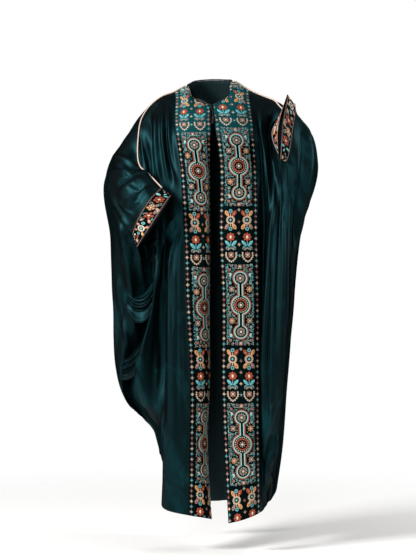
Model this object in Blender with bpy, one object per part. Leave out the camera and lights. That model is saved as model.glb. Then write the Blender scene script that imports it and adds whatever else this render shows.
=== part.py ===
"""Bisht: a wide velvet robe with cut-on sleeves, embroidered front bands and cuffs, and corded seams.

It keeps the hollow shape it has when worn, its right sleeve bent to the waist and its left to the shoulder.
Metres, +Z up, front towards -Y. The origin is the middle of the neck, where the garment is held up.
"""

import math

import bmesh
import bpy
import numpy as np

# Cloth
WALL = 0.0016               # velvet with its pile
BAND_WALL = 0.0022          # embroidered velvet on its backing
SEAM_GAP = 0.0003           # between two pieces that are sewn together
CORNER_GAP = 0.0007         # the same where a front, the back and a cuff meet
BAND_WIDTH = 0.126          # front band, from the opening to the panel

# Neck, closure and cords
NECK_FRONT = 0.072          # from the middle of the neck to its front edge
NECK_BACK = 0.062
NECK_FRONT_HEIGHT = -0.066
NECK_BACK_HEIGHT = 0.030
CLOSURE_GAP = 0.009         # between the two fronts at the neck
CORD_RADIUS = 0.0022        # corded piping in the over-arm seams
BINDING_RADIUS = 0.0022     # rolled binding of the neck
TIE_RADIUS = 0.0013         # tie cord of the closure
TIE_LENGTH = 0.040
TASSEL_LENGTH = 0.024
TASSEL_RADIUS = 0.0055
TASSEL_RIDGES = 12
# Share of its length, share of its radius, and height of its ridges at each ring of the tassel
TASSEL_PROFILE = (
    (0, 0.40, 0), (0.06, 0.70, 0), (0.16, 0.72, 0), (0.27, 0.46, 0.06),
    (0.34, 0.60, 0.14), (0.62, 0.84, 0.14), (1, 1, 0.14),
)

# Heights of the sections below the top edge, where a fold line names none of its own
SECTIONS = ("top", "chest", "arm", "waist", "hip", "knee", "calf", "hem")
HEIGHT = dict(chest=-0.130, arm=-0.250, waist=-0.480, hip=-0.690, knee=-0.960, calf=-1.130)

# Quads between two sections, and between two fold lines
ROWS = (3, 3, 3, 3, 4, 3, 3)
ACROSS = 3
RING = dict(right=3, left=2)    # sections of a sleeve's end, above the side seam
RING_ROWS = {hand: sum(ROWS[:count]) for hand, count in RING.items()}
MOUTH_STEPS = dict(right=(5, 4, 4, 5), left=(3, 3, 3, 3))

# The over-arm seam, as (x, y, z) for each fold line that starts on it
SEAM_LINES = ("neck", "band", "yoke", "shoulder", "upper arm", "lower arm", "crook", "forearm", "cuff")
RIGHT_SEAM = (
    (-0.084, 0.000, 0.004), (-0.124, 0.008, -0.015), (-0.158, 0.012, -0.027),
    (-0.190, 0.006, -0.050), (-0.224, -0.008, -0.096), (-0.238, -0.030, -0.170),
    (-0.235, -0.058, -0.257), (-0.206, -0.122, -0.288), (-0.160, -0.182, -0.338),
)
LEFT_SEAM = (
    (0.069, 0.000, 0.020), (0.124, 0.008, -0.010), (0.155, 0.010, -0.024),
    (0.180, 0.004, -0.034), (0.203, -0.015, -0.046), (0.220, -0.030, -0.066),
    (0.235, -0.050, -0.080), (0.251, -0.074, -0.076), (0.264, -0.102, -0.066),
)

# Fold lines from the top edge to the hem. Each holds (x, y) at every section, chest to hem, and (x, y, z)
# where the line crosses a section at a height of its own.
RIGHT_FRONT = {
    "edge": ((-0.004, -0.110), (-0.006, -0.112), (-0.006, -0.086), (-0.007, -0.070), (-0.010, -0.054),
             (-0.016, -0.046), (-0.001, -0.075, -1.396)),
    "band": ((-0.118, -0.088), (-0.102, -0.130), (-0.088, -0.146), (-0.082, -0.146), (-0.068, -0.148),
             (-0.069, -0.148), (-0.072, -0.150, -1.374)),
    "yoke": ((-0.143, -0.082), (-0.131, -0.104), (-0.130, -0.142), (-0.134, -0.150), (-0.138, -0.156),
             (-0.144, -0.156), (-0.156, -0.135, -1.350)),
    "shoulder": ((-0.178, -0.070), (-0.160, -0.098), (-0.152, -0.112), (-0.162, -0.108), (-0.182, -0.105),
                 (-0.166, -0.098), (-0.150, -0.070, -1.300)),
    "upper arm": ((-0.205, -0.064, -0.165), (-0.190, -0.092, -0.280), (-0.174, -0.130), (-0.186, -0.136),
                  (-0.235, -0.116), (-0.176, -0.042), (-0.156, -0.015, -1.250)),
    "lower arm": ((-0.212, -0.050, -0.215), (-0.200, -0.068, -0.320), (-0.200, -0.084), (-0.188, -0.070),
                  (-0.252, -0.062, -0.985), (-0.178, -0.012), (-0.165, 0.020, -1.212)),
    "crook": ((-0.218, -0.076, -0.292), (-0.217, -0.082, -0.375), (-0.217, -0.080), (-0.190, -0.030),
              (-0.256, -0.026, -0.995), (-0.180, 0.010), (-0.168, 0.036, -1.205)),
    "forearm": ((-0.198, -0.132, -0.340), (-0.212, -0.114, -0.415), (-0.230, -0.112), (-0.200, -0.026),
                (-0.262, -0.002, -1.000), (-0.182, 0.028), (-0.170, 0.050, -1.200)),
    "cuff": ((-0.182, -0.158, -0.382), (-0.216, -0.146, -0.432), (-0.250, -0.150), (-0.210, -0.050),
             (-0.270, -0.014, -1.005), (-0.184, 0.040), (-0.172, 0.064, -1.200)),
}
RIGHT_BACK = {
    "forearm": ((-0.234, -0.172, -0.325), (-0.268, -0.168, -0.400), (-0.295, -0.114), (-0.268, -0.086),
                (-0.280, -0.042, -1.010), (-0.188, 0.050), (-0.171, 0.076, -1.200)),
    "crook": ((-0.290, -0.072, -0.262), (-0.338, -0.030, -0.300), (-0.323, -0.040), (-0.314, -0.036),
              (-0.284, -0.010, -1.010), (-0.190, 0.058), (-0.170, 0.086, -1.208)),
    "lower arm": ((-0.306, 0.004, -0.212), (-0.347, 0.034, -0.286), (-0.333, 0.022), (-0.324, 0.024),
                  (-0.286, 0.030, -1.005), (-0.190, 0.070), (-0.167, 0.094, -1.220)),
    "upper arm": ((-0.281, 0.046, -0.152), (-0.328, 0.082, -0.240), (-0.316, 0.078), (-0.308, 0.082),
                  (-0.272, 0.078, -0.995), (-0.184, 0.088), (-0.160, 0.106, -1.240)),
    "cuff": ((-0.192, -0.220, -0.368), (-0.228, -0.214, -0.422), None, None, None, None, None),
}
LEFT_FRONT = {
    "edge": ((0.010, -0.112), (0.024, -0.132), (0.024, -0.135), (0.032, -0.136), (0.032, -0.136),
             (0.038, -0.136), (0.052, -0.140, -1.400)),
    "band": ((0.132, -0.092), (0.140, -0.118), (0.145, -0.130), (0.149, -0.134), (0.149, -0.130),
             (0.149, -0.128), (0.152, -0.128, -1.368)),
    "yoke": ((0.147, -0.078), (0.156, -0.096), (0.163, -0.102), (0.162, -0.108), (0.155, -0.100),
             (0.155, -0.098), (0.168, -0.100, -1.358)),
    "shoulder": ((0.157, -0.088), (0.171, -0.112), (0.186, -0.136), (0.175, -0.148), (0.165, -0.138),
                 (0.164, -0.126), (0.173, -0.088, -1.354)),
    "upper arm": ((0.167, -0.074), (0.183, -0.096), (0.200, -0.142), (0.192, -0.154), (0.182, -0.146),
                  (0.178, -0.130), (0.180, -0.060, -1.346)),
    "lower arm": ((0.175, -0.060), (0.194, -0.092), (0.216, -0.144), (0.211, -0.152), (0.201, -0.142),
                  (0.196, -0.120), (0.191, -0.030, -1.340)),
    "crook": ((0.182, -0.050, -0.138), (0.205, -0.104, -0.256), (0.230, -0.142), (0.228, -0.148),
              (0.217, -0.130), (0.210, -0.100), (0.200, 0.000, -1.334)),
    "forearm": ((0.188, -0.058, -0.146), (0.217, -0.124, -0.262), (0.239, -0.136), (0.239, -0.138),
                (0.230, -0.112), (0.222, -0.074), (0.208, 0.022, -1.324)),
    "cuff": ((0.192, -0.084, -0.152), (0.236, -0.150), (0.247, -0.120), (0.245, -0.120), (0.239, -0.080),
             (0.230, -0.036), (0.214, 0.040, -1.310)),
}
LEFT_BACK = {
    "forearm": ((0.294, -0.124, -0.145), (0.282, -0.158), (0.258, -0.098), (0.252, -0.092), (0.243, -0.050),
                (0.234, -0.010), (0.215, 0.056, -1.306)),
    "crook": ((0.320, -0.078, -0.160), (0.330, -0.104), (0.282, -0.072), (0.264, -0.060), (0.245, -0.020),
              (0.234, 0.016), (0.213, 0.072, -1.304)),
    "lower arm": ((0.318, -0.020, -0.150), (0.343, -0.036), (0.284, -0.016), (0.266, -0.010), (0.244, 0.020),
                  (0.231, 0.044), (0.208, 0.088, -1.306)),
    "upper arm": ((0.294, 0.036, -0.130), (0.326, 0.036), (0.277, 0.040), (0.260, 0.042), (0.240, 0.058),
                  (0.226, 0.070), (0.200, 0.104, -1.312)),
    "cuff": ((0.258, -0.152, -0.150), None, None, None, None, None, None),
}
CENTRE_BACK = ((0.115, -0.120), (0.140, -0.250), (0.148, -0.480), (0.155, -0.690), (0.164, -0.960),
               (0.162, -1.130), (0.172, -1.370))
PLEAT = 0.012               # depth of the back's folds, out of and into the line of the body

# Mouth of each cuff: top, body side, bottom and outer side
RIGHT_MOUTH = (
    (-0.128, -0.192, -0.362), (-0.180, -0.160, -0.450), (-0.236, -0.168, -0.524), (-0.182, -0.228, -0.446),
)
LEFT_MOUTH = (
    (0.240, -0.130, -0.036), (0.211, -0.124, -0.140), (0.213, -0.188, -0.248), (0.222, -0.180, -0.130),
)
CUFF_STEPS = 2


def through(points, steps, before=None, after=None):
    """Points on a smooth line through the given ones. before and after are points past its two ends."""
    points = np.asarray(points, float)
    path = [points]
    if before is not None:
        path = [np.asarray(before)[None]] + path
    if after is not None:
        path = path + [np.asarray(after)[None]]
    path = np.concatenate(path)
    span = np.linalg.norm(np.diff(path, axis=0), axis=-1, keepdims=True) + 1e-9
    slope = np.diff(path, axis=0) / span
    tangent = (slope[:-1] * span[1:] + slope[1:] * span[:-1]) / (span[1:] + span[:-1])
    if before is None:
        tangent = np.concatenate([1.5 * slope[:1] - 0.5 * tangent[:1], tangent])
    else:
        span = span[1:]
    if after is None:
        tangent = np.concatenate([tangent, 1.5 * slope[-1:] - 0.5 * tangent[-1:]])
    rows = []
    for i, count in enumerate(steps):
        for t in np.arange(count) / count:
            rows.append((2 * t**3 - 3 * t**2 + 1) * points[i]
                        + (t**3 - 2 * t**2 + t) * span[i] * tangent[i]
                        + (3 * t**2 - 2 * t**3) * points[i + 1]
                        + (t**3 - t**2) * span[i] * tangent[i + 1])
    return np.array(rows + [points[-1]])


def unit(vectors):
    return vectors / np.maximum(np.linalg.norm(vectors, axis=-1, keepdims=True), 1e-9)


def fold_line(top, cells):
    """The eight points of a fold line, from its top point and its cells in a table."""
    line = [top]
    for section, cell in zip(SECTIONS[1:], cells):
        x, y, *own = cell
        line.append((x, y, own[0] if own else HEIGHT[section]))
    return np.array(line)


def front_neck(turn, side):
    """A point of the neck's front edge: turn is 0 at the closure and 1 at the shoulder."""
    angle = turn * math.pi / 2
    drop = math.cos(angle) ** 1.3 if turn < 1 else 0
    start = math.copysign(CLOSURE_GAP / 2, side[0])
    return np.array((start + (side[0] - start) * math.sin(angle), -NECK_FRONT * math.cos(angle),
                     side[2] + (NECK_FRONT_HEIGHT - side[2]) * drop))


def front_lines(seam, table):
    """The fold lines of one front, from its opening to the cuff."""
    seam = dict(zip(SEAM_LINES, seam))
    edge = fold_line(front_neck(0, seam["neck"]), table["edge"])
    band = fold_line(seam["band"], table["band"])
    chord = (band - edge)[1:]
    length = np.linalg.norm(chord, axis=1, keepdims=True)
    rise = np.sqrt(3 / 16 * np.maximum(BAND_WIDTH**2 - length**2, 0))
    out = np.cross(chord, (0, 0, math.copysign(1, band[0][0]))) / length
    lines = [edge]
    for part, top in ((1 / 3, front_neck(0.5, seam["neck"])), (2 / 3, np.array(seam["neck"]))):
        arc = edge[1:] + part * chord + 4 * rise * part * (1 - part) * out
        lines.append(np.concatenate([top[None], arc]))
    lines.append(band)
    return lines + [fold_line(seam[name], table[name]) for name in SEAM_LINES[2:]]


def back_lines(seam, table, front, centre):
    """The fold lines of one half of the back, from the cuff to halfway round the back of the neck."""
    seam = dict(zip(SEAM_LINES, seam))
    cuff = front[-1].copy()
    for row, cell in enumerate(table["cuff"], 1):
        if cell is not None:
            cuff[row] = fold_line(cuff[0], [cell])[1] if len(cell) == 3 else (*cell, HEIGHT[SECTIONS[row]])
    lines = [cuff]
    for name in ("forearm", "crook", "lower arm", "upper arm"):
        lines.append(fold_line(seam[name], table[name]))
    outer = lines[-1]
    turn = math.radians(45)
    neck = np.array(seam["neck"])
    seam["back neck"] = (neck[0] * math.cos(turn), NECK_BACK * math.sin(turn),
                         neck[2] + (NECK_BACK_HEIGHT - neck[2]) * math.sin(turn))
    for place, name in enumerate(("shoulder", "yoke", "band", "neck", "back neck"), 1):
        angle = place / 6 * math.pi / 2
        share = np.array((1 - math.cos(angle), math.sin(angle), math.sin(angle) ** 0.7))
        line = outer + (centre - outer) * share
        line[3:, 1] += PLEAT * (1 if place % 2 else -1)
        line[2, 1] += PLEAT * (0.5 if place % 2 else -0.5)
        line[0] = seam[name]
        lines.append(line)
    return lines


def filled(lines, past, ends):
    """The points of a panel: every fold line with its rows, then the columns between them.

    past rounds its top. ends holds, for each line at a sleeve's end, the other half's line and the number of
    sections above the side seam.
    """
    rows = []
    for i, (line, point) in enumerate(zip(lines, past)):
        if i in ends:
            mate, count = ends[i]
            ring = through(line[:count + 1], ROWS[:count], before=mate[1], after=mate[count - 1])
            rows.append(np.concatenate([ring[:-1], through(line[count:], ROWS[count:])]))
        else:
            rows.append(through(line, ROWS, before=point))
    return through(np.array(rows), [ACROSS] * (len(rows) - 1))


def normals(grid, turn):
    return unit(np.cross(np.gradient(grid, axis=0), np.gradient(grid, axis=1))) * turn


def across(way, along):
    """The part of each vector that is square to the line it starts from, with a length of 1."""
    along = unit(along)
    return unit(way - along * np.sum(way * along, axis=-1, keepdims=True))


def folded(first, second, along, one, other):
    """Outward direction at a seam, from its two sides' normals and the way to each side's next point."""
    flat = across(first, along) + across(second, along)
    sharp = -across(one, along) - across(other, along)
    agree = np.where(np.sum(flat * sharp, axis=-1, keepdims=True) < -0.3, -1, 1)
    return unit(flat + sharp * agree)


def halved(grid, first=None, last=None, sides=True):
    """The grid with its side columns and its top row drawn in by half a seam's gap.

    first and last give the lowest row of a sleeve's end on that side. Three pieces meet there, so the gap is
    wider.
    """
    drawn = grid.copy()
    for column, inside, ring in ((0, 1, first), (-1, -2, last)) if sides else ():
        step = np.full((grid.shape[1], 1), SEAM_GAP / 2)
        if ring is not None:
            step[:2] = CORNER_GAP / 2
            step[ring - 1:ring + 3] = CORNER_GAP / 2
        drawn[column] += unit(grid[inside] - grid[column]) * step
    step = np.full((grid.shape[0], 1), SEAM_GAP / 2)
    for column, ring in ((0, first), (-1, last)):
        if ring is not None and sides:
            step[column] = CORNER_GAP / 2
        elif ring is not None:
            step[ring - 1:ring + 2] = CORNER_GAP / 2
            step[:2] = CORNER_GAP / 2
            step[-1] = CORNER_GAP / 2
    drawn[:, 0] += unit(grid[:, 1] - grid[:, 0]) * step
    return drawn


def material(name, colour, roughness):
    made = bpy.data.materials.new(name)
    made.use_nodes = True
    shader = made.node_tree.nodes["Principled BSDF"]
    shader.inputs["Base Color"].default_value = (*colour, 1.0)
    shader.inputs["Roughness"].default_value = roughness
    return made


def wall(name, outer, inner, finish, closed=False):
    """A closed solid between two like grids of points. closed joins the last column to the first."""
    columns, rows = outer.shape[:2]
    mesh = bmesh.new()
    sheets = [[[mesh.verts.new(p) for p in column] for column in grid] for grid in (outer, inner)]
    last = columns if closed else columns - 1
    for i in range(last):
        j = (i + 1) % columns
        for k in range(rows - 1):
            for grid in sheets:
                mesh.faces.new((grid[i][k], grid[j][k], grid[j][k + 1], grid[i][k + 1]))
        for k in (0, rows - 1):
            rim(mesh, sheets, (i, k), (j, k))
    if not closed:
        for i in (0, columns - 1):
            for k in range(rows - 1):
                rim(mesh, sheets, (i, k), (i, k + 1))
    return finished(name, mesh, finish)


def rim(mesh, sheets, first, second):
    """The two faces between two neighbours on a wall's border, split alike on both sides of a seam."""
    (a, b), (c, d) = ((sheet[first[0]][first[1]], sheet[second[0]][second[1]]) for sheet in sheets)
    if a.co.z < b.co.z:
        a, b, c, d = b, a, d, c
    mesh.faces.new((a, b, d))
    mesh.faces.new((a, d, c))


def finished(name, mesh, finish):
    bmesh.ops.triangulate(mesh, faces=mesh.faces)
    bmesh.ops.recalc_face_normals(mesh, faces=mesh.faces)
    data = bpy.data.meshes.new(name)
    mesh.to_mesh(data)
    mesh.free()
    data.materials.append(finish)
    made = bpy.data.objects.new(name, data)
    collection.objects.link(made)
    return made


def cord(name, path, radius, finish):
    """A round cord along a path."""
    curve = bpy.data.curves.new(name, "CURVE")
    curve.dimensions = "3D"
    curve.bevel_depth = radius
    curve.bevel_resolution = 2
    curve.use_fill_caps = True
    spline = curve.splines.new("POLY")
    spline.points.add(len(path) - 1)
    for point, place in zip(spline.points, path):
        point.co = (*place, 1)
    curve.materials.append(finish)
    made = bpy.data.objects.new(name, curve)
    collection.objects.link(made)
    return made


def fringe(name, top, foot, profile, radius, finish):
    """A tassel between two points. profile holds its share of the length and of the radius at each ring."""
    top, foot = np.asarray(top), np.asarray(foot)
    way = unit(foot - top)
    side = unit(np.cross(way, (0, 1, 0)))
    up = np.cross(way, side)
    mesh = bmesh.new()
    rings = []
    for along, reach, ridge in profile:
        ring = []
        for i in range(2 * TASSEL_RIDGES):
            angle = math.pi * i / TASSEL_RIDGES
            out = radius * reach * (1 + ridge * (i % 2))
            ring.append(mesh.verts.new(top + (foot - top) * along + out * (math.cos(angle) * side
                                                                        + math.sin(angle) * up)))
        rings.append(ring)
    for first, second in zip(rings, rings[1:]):
        for i in range(len(first)):
            j = (i + 1) % len(first)
            mesh.faces.new((first[i], first[j], second[j], second[i]))
    mesh.faces.new(rings[0][::-1])
    mesh.faces.new(rings[-1])
    return finished(name, mesh, finish)


def build():
    """Makes every piece."""
    centre_line = np.array([(0, NECK_BACK, NECK_BACK_HEIGHT)] + [(0, y, z) for y, z in CENTRE_BACK])
    half = {}
    for hand, seam, front_table, back_table in (("right", RIGHT_SEAM, RIGHT_FRONT, RIGHT_BACK),
                                                ("left", LEFT_SEAM, LEFT_FRONT, LEFT_BACK)):
        front = front_lines(seam, front_table)
        back = back_lines(seam, back_table, front, centre_line)
        half[hand] = (front, back)
    lines = half["right"][1] + [centre_line] + half["left"][1][::-1]
    past = []
    for hand, order in (("right", 1), ("left", -1)):
        front = half[hand][0]
        own = [None] + [line[1] for line in front[-2:2:-1]] + [front[2][1], None]
        past += own[::order] if hand == "left" else own + [None]
    ends = {0: (half["right"][0][-1], RING["right"]), len(lines) - 1: (half["left"][0][-1], RING["left"])}
    back = filled(lines, past, ends)
    count = ACROSS * 8
    back_out = normals(back, 1)
    pieces = {"back": (back, back_out)}
    fronts = {}
    for hand, turn in (("right", 1), ("left", -1)):
        ring_rows = RING_ROWS[hand]
        front, own_back = half[hand]
        past = [None, None] + [line[1] for line in own_back[-2:0:-1]] + [None]
        past[8] = None
        grid = filled(front, past, {10: (own_back[0], RING[hand])})
        out = normals(grid, turn)
        seam = slice(2 * ACROSS, None)
        mate = back[:count + 1][::-1] if hand == "right" else back[-count - 1:]
        mate_out = back_out[:count + 1][::-1] if hand == "right" else back_out[-count - 1:]
        mate[:, 0] = grid[seam, 0]
        line = grid[seam, 0]
        shared = folded(out[seam, 0], mate_out[:, 0], np.gradient(line, axis=0),
                        grid[seam, 1] - line, mate[:, 1] - line)
        out[seam, 0] = shared
        mate_out[:, 0] = shared
        mate[-1, ring_rows:] = grid[-1, ring_rows:]
        line = grid[-1, ring_rows:]
        shared = folded(out[-1, ring_rows:], mate_out[-1, ring_rows:], np.gradient(line, axis=0),
                        grid[-2, ring_rows:] - line, mate[-2, ring_rows:] - line)
        out[-1, ring_rows:] = shared
        mate_out[-1, ring_rows:] = shared
        fronts[hand] = (grid, out, mate, mate_out)

    for hand, turn, mouth in (("right", 1, RIGHT_MOUTH), ("left", -1, LEFT_MOUTH)):
        grid, out, mate, mate_out = fronts[hand]
        ring_rows = RING_ROWS[hand]
        start = np.concatenate([grid[-1, :ring_rows], mate[-1, ring_rows:0:-1]])
        end = through([*mouth, mouth[0]], MOUTH_STEPS[hand], before=mouth[3], after=mouth[1])[:-1]
        ring = np.array([start + (end - start) * i / CUFF_STEPS for i in range(CUFF_STEPS + 1)])
        ring = ring.swapaxes(0, 1)
        wrapped = np.concatenate([ring[-1:], ring, ring[:1]])
        ring_out = unit(np.cross(np.gradient(wrapped, axis=0), np.gradient(wrapped, axis=1)))[1:-1] * -turn
        for tip in (0, ring_rows):
            along = np.gradient(ring[tip], axis=0)
            near = (ring[tip - 1] - ring[tip], ring[tip + 1] - ring[tip])
            ring_out[tip] = folded(ring_out[tip - 1], ring_out[tip + 1], along, *near)
        worn = np.concatenate([out[-1, :ring_rows], mate_out[-1, ring_rows:0:-1]])
        shared = unit(ring_out[:, 0] + worn)
        beyond = grid[-1, ring_rows + 1] - grid[-1, ring_rows]
        shared[ring_rows] = unit(unit(beyond) + unit(ring[ring_rows, 1] - ring[ring_rows, 0]))
        ring_out[:, 0] = shared
        out[-1, :ring_rows + 1] = shared[:ring_rows + 1]
        mate_out[-1, 0] = shared[0]
        mate_out[-1, ring_rows:0:-1] = shared[ring_rows:]
        drawn = halved(ring, first=ring_rows, sides=False)
        wall(f"{hand}_cuff", drawn, drawn - ring_out * BAND_WALL, band_finish, closed=True)
        split = 3 * ACROSS
        drawn = halved(grid[:split + 1])
        wall(f"{hand}_band", drawn, drawn - out[:split + 1] * BAND_WALL, band_finish)
        drawn = halved(grid[split:], last=ring_rows)
        wall(f"{hand}_front", drawn, drawn - out[split:] * WALL, velvet)

    drawn = halved(back, first=RING_ROWS["right"], last=RING_ROWS["left"])
    wall("back", drawn, drawn - back_out * WALL, velvet)

    for hand in ("right", "left"):
        grid, out, mate, mate_out = fronts[hand]
        away = out[2 * ACROSS + 1:, 0]
        away = unit(2 * away + np.roll(away, 1, axis=0) + np.roll(away, -1, axis=0))
        away[0], away[-1] = out[2 * ACROSS + 1, 0], out[-1, 0]
        seam = grid[2 * ACROSS + 1:, 0] + away * (CORD_RADIUS + 0.0006)
        cord(f"{hand}_piping", seam, CORD_RADIUS, cord_finish)

    edge = []
    for points, directions, corner in (
            (fronts["right"][0][:2 * ACROSS + 2], fronts["right"][1], -1),
            (back[count:-count][1:-1], back_out[count:-count][1:-1], None),
            (fronts["left"][0][2 * ACROSS + 1::-1], fronts["left"][1][2 * ACROSS + 1::-1], 0)):
        away = unit(points[:, 0] - points[:, 1])
        if corner is not None:
            mate = back[count, 1] if corner else back[-count - 1, 1]
            points, shoulder = (points[:-1], points[-1, 0]) if corner else (points[1:], points[0, 0])
            directions = directions[:len(points)] if corner else directions[1:]
            away = away[:-1] if corner else away[1:]
            tip = points[corner, 0]
            away[corner] = unit(away[corner] - unit(mate - tip) - unit(shoulder - tip))
        edge.append(np.stack([points[:, 0] - directions[:, 0] * WALL / 2, away], axis=1))
    edge = np.concatenate(edge)
    along = unit(np.gradient(edge[:, 0], axis=0))
    away = unit(edge[:, 1] - along * np.sum(edge[:, 1] * along, axis=1, keepdims=True))
    clear = np.full((len(edge), 1), BINDING_RADIUS + 0.0007)
    clear[[2 * ACROSS, -2 * ACROSS - 1]] += 0.0009
    edge = edge[:, 0] + away * clear
    cord("neck_binding", edge, BINDING_RADIUS, tassel_finish)

    opening = fronts["left"][0][0][:ROWS[0] + 1]
    rest = {}
    for name, drop, off in (
            ("bend", 0.012, TIE_RADIUS),
            ("run", 0.026, TIE_RADIUS + 0.001),
            ("end", TIE_LENGTH, TASSEL_RADIUS * 1.15),
            ("foot", TIE_LENGTH + 0.001 + TASSEL_LENGTH, TASSEL_RADIUS * 1.15)):
        z = NECK_FRONT_HEIGHT - drop
        rest[name] = np.array((0, np.interp(-z, -opening[:, 2], opening[:, 1]) - off - 0.0006, z))
    start = edge[0] + np.array((-0.0015, -BINDING_RADIUS - TIE_RADIUS - 0.0003, 0))
    path = [start, rest["bend"], rest["run"] + (0.002, 0, 0), rest["end"] + (0.003, 0, 0)]
    cord("tie_cord", through(path, (3, 3, 3)), TIE_RADIUS, tassel_finish)
    way = unit(rest["foot"] - rest["end"])
    fringe("tassel", rest["end"] + (0.003, 0, 0) + way * 0.0004, rest["foot"] + (0.003, 0, 0),
           TASSEL_PROFILE, TASSEL_RADIUS, tassel_finish)
    return half, fronts, back


for old in list(bpy.data.objects):
    bpy.data.objects.remove(old)
collection = bpy.data.collections.new("bisht")
bpy.context.scene.collection.children.link(collection)
velvet = material("teal velvet", (0.010, 0.055, 0.062), 0.55)
band_finish = material("embroidered velvet", (0.014, 0.075, 0.080), 0.6)
cord_finish = material("cream cord", (0.70, 0.52, 0.42), 0.6)
tassel_finish = material("black silk", (0.004, 0.006, 0.007), 0.45)
half, fronts, back = build()
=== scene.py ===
"""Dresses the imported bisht: velvet panels with their folds, embroidery, cords, stage and light."""

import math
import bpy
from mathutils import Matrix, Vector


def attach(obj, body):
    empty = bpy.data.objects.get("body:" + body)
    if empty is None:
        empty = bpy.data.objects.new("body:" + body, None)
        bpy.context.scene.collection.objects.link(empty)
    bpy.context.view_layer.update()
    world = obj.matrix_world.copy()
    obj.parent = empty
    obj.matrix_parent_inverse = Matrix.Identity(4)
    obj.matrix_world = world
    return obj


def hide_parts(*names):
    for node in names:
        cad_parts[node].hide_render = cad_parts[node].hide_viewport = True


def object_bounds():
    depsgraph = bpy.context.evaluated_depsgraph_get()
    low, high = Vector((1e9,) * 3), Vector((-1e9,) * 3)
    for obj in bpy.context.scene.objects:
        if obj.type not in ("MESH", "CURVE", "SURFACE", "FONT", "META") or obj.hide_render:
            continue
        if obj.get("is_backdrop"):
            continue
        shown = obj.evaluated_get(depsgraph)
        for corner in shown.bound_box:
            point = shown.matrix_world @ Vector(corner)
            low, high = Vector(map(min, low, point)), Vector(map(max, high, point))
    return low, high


bl_info = {
    "name": "Velvet bisht",
    "version": (1, 0, 0),
    "blender": (4, 5, 0),
    "location": "3D View > Sidebar > Bisht",
    "description": "Makes a worn velvet robe with embroidered bands and cuffs, piece by piece",
    "category": "Mesh",
}

import bpy
import numpy as np
from mathutils import Vector
from mathutils.bvhtree import BVHTree

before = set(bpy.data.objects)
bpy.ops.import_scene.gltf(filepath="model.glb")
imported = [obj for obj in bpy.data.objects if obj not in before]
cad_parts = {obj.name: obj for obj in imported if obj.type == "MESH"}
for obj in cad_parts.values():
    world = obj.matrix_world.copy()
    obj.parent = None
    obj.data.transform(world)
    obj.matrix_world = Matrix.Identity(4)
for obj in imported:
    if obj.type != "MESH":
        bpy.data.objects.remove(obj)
cad_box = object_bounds()

# The cut, as the solids have it. The tables of points are in whole millimetres, and all else is in metres.

BAND_WIDTH = 0.126
CUFF_WIDTH = 0.044
EASE = (1.06, 1.24)             # cloth eased into a band above the chest, at its inner and outer edge
NECK_FRONT = 0.072              # depth of the neck in front of its middle, and behind it
NECK_BACK = 0.062
NECK_FRONT_HEIGHT = -0.066
NECK_BACK_HEIGHT = 0.030
NECK_DIP = 1.3                  # over 1, the neck's front edge rises sooner from its lowest point
CLOSURE_GAP = 0.009
PLEAT = 0.012                   # how far the back's lines stand out and in, by turns
BACK_RISE = 0.7                 # below 1, the back's lines reach the height of its middle early
SECTIONS = ("top", "chest", "arm", "waist", "hip", "knee", "calf", "hem")
HEIGHT = dict(chest=-0.130, arm=-0.250, waist=-0.480, hip=-0.690, knee=-0.960, calf=-1.130)
ROWS = (14, 24, 40, 36, 44, 26, 34)     # quads between two sections, 5 to 7 mm each
ACROSS = 10                             # quads between two fold lines
TO_SEAM = 2 * ACROSS                    # quads across a front up to the neck's side, where its seam begins
TO_BAND = 3 * ACROSS                    # quads across a front that its band takes up
ALONG_ARM = 8 * ACROSS                  # quads along the over-arm seam
RING = dict(right=3, left=2)            # sections of a sleeve's end, above the side seam
RING_ROWS = {hand: sum(ROWS[:count]) for hand, count in RING.items()}
MOUTH_STEPS = dict(right=(22, 17, 17, 22), left=(10, 9, 9, 10))     # quads on each side of a cuff's mouth
SEAM_LINES = ("neck", "band", "yoke", "shoulder", "upper arm", "lower arm", "crook", "forearm", "cuff")
RIGHT_SEAM = (
    (-84, 0, 4), (-124, 8, -15), (-158, 12, -27), (-190, 6, -50), (-224, -8, -96), (-238, -30, -170),
    (-235, -58, -257), (-206, -122, -288), (-160, -182, -338),
)
LEFT_SEAM = (
    (69, 0, 20), (124, 8, -10), (155, 10, -24), (180, 4, -34), (203, -15, -46), (220, -30, -66),
    (235, -50, -80), (251, -74, -76), (264, -102, -66),
)
# Fold lines from the top edge to the hem. Each holds (x, y) at every section, chest to hem, and (x, y, z)
# where the line crosses a section at a height of its own.
RIGHT_FRONT = {
    "edge": ((-4, -110), (-6, -112), (-6, -86), (-7, -70), (-10, -54), (-16, -46), (-1, -75, -1396)),
    "band": ((-118, -88), (-102, -130), (-88, -146), (-82, -146), (-68, -148), (-69, -148),
             (-72, -150, -1374)),
    "yoke": ((-143, -82), (-131, -104), (-130, -142), (-134, -150), (-138, -156), (-144, -156),
             (-156, -135, -1350)),
    "shoulder": ((-178, -70), (-160, -98), (-152, -112), (-162, -108), (-182, -105), (-166, -98),
                 (-150, -70, -1300)),
    "upper arm": ((-205, -64, -165), (-190, -92, -280), (-174, -130), (-186, -136), (-235, -116), (-176, -42),
                  (-156, -15, -1250)),
    "lower arm": ((-212, -50, -215), (-200, -68, -320), (-200, -84), (-188, -70), (-252, -62, -985),
                  (-178, -12), (-165, 20, -1212)),
    "crook": ((-218, -76, -292), (-217, -82, -375), (-217, -80), (-190, -30), (-256, -26, -995), (-180, 10),
              (-168, 36, -1205)),
    "forearm": ((-198, -132, -340), (-212, -114, -415), (-230, -112), (-200, -26), (-262, -2, -1000),
                (-182, 28), (-170, 50, -1200)),
    "cuff": ((-182, -158, -382), (-216, -146, -432), (-250, -150), (-210, -50), (-270, -14, -1005),
             (-184, 40), (-172, 64, -1200)),
}
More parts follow.
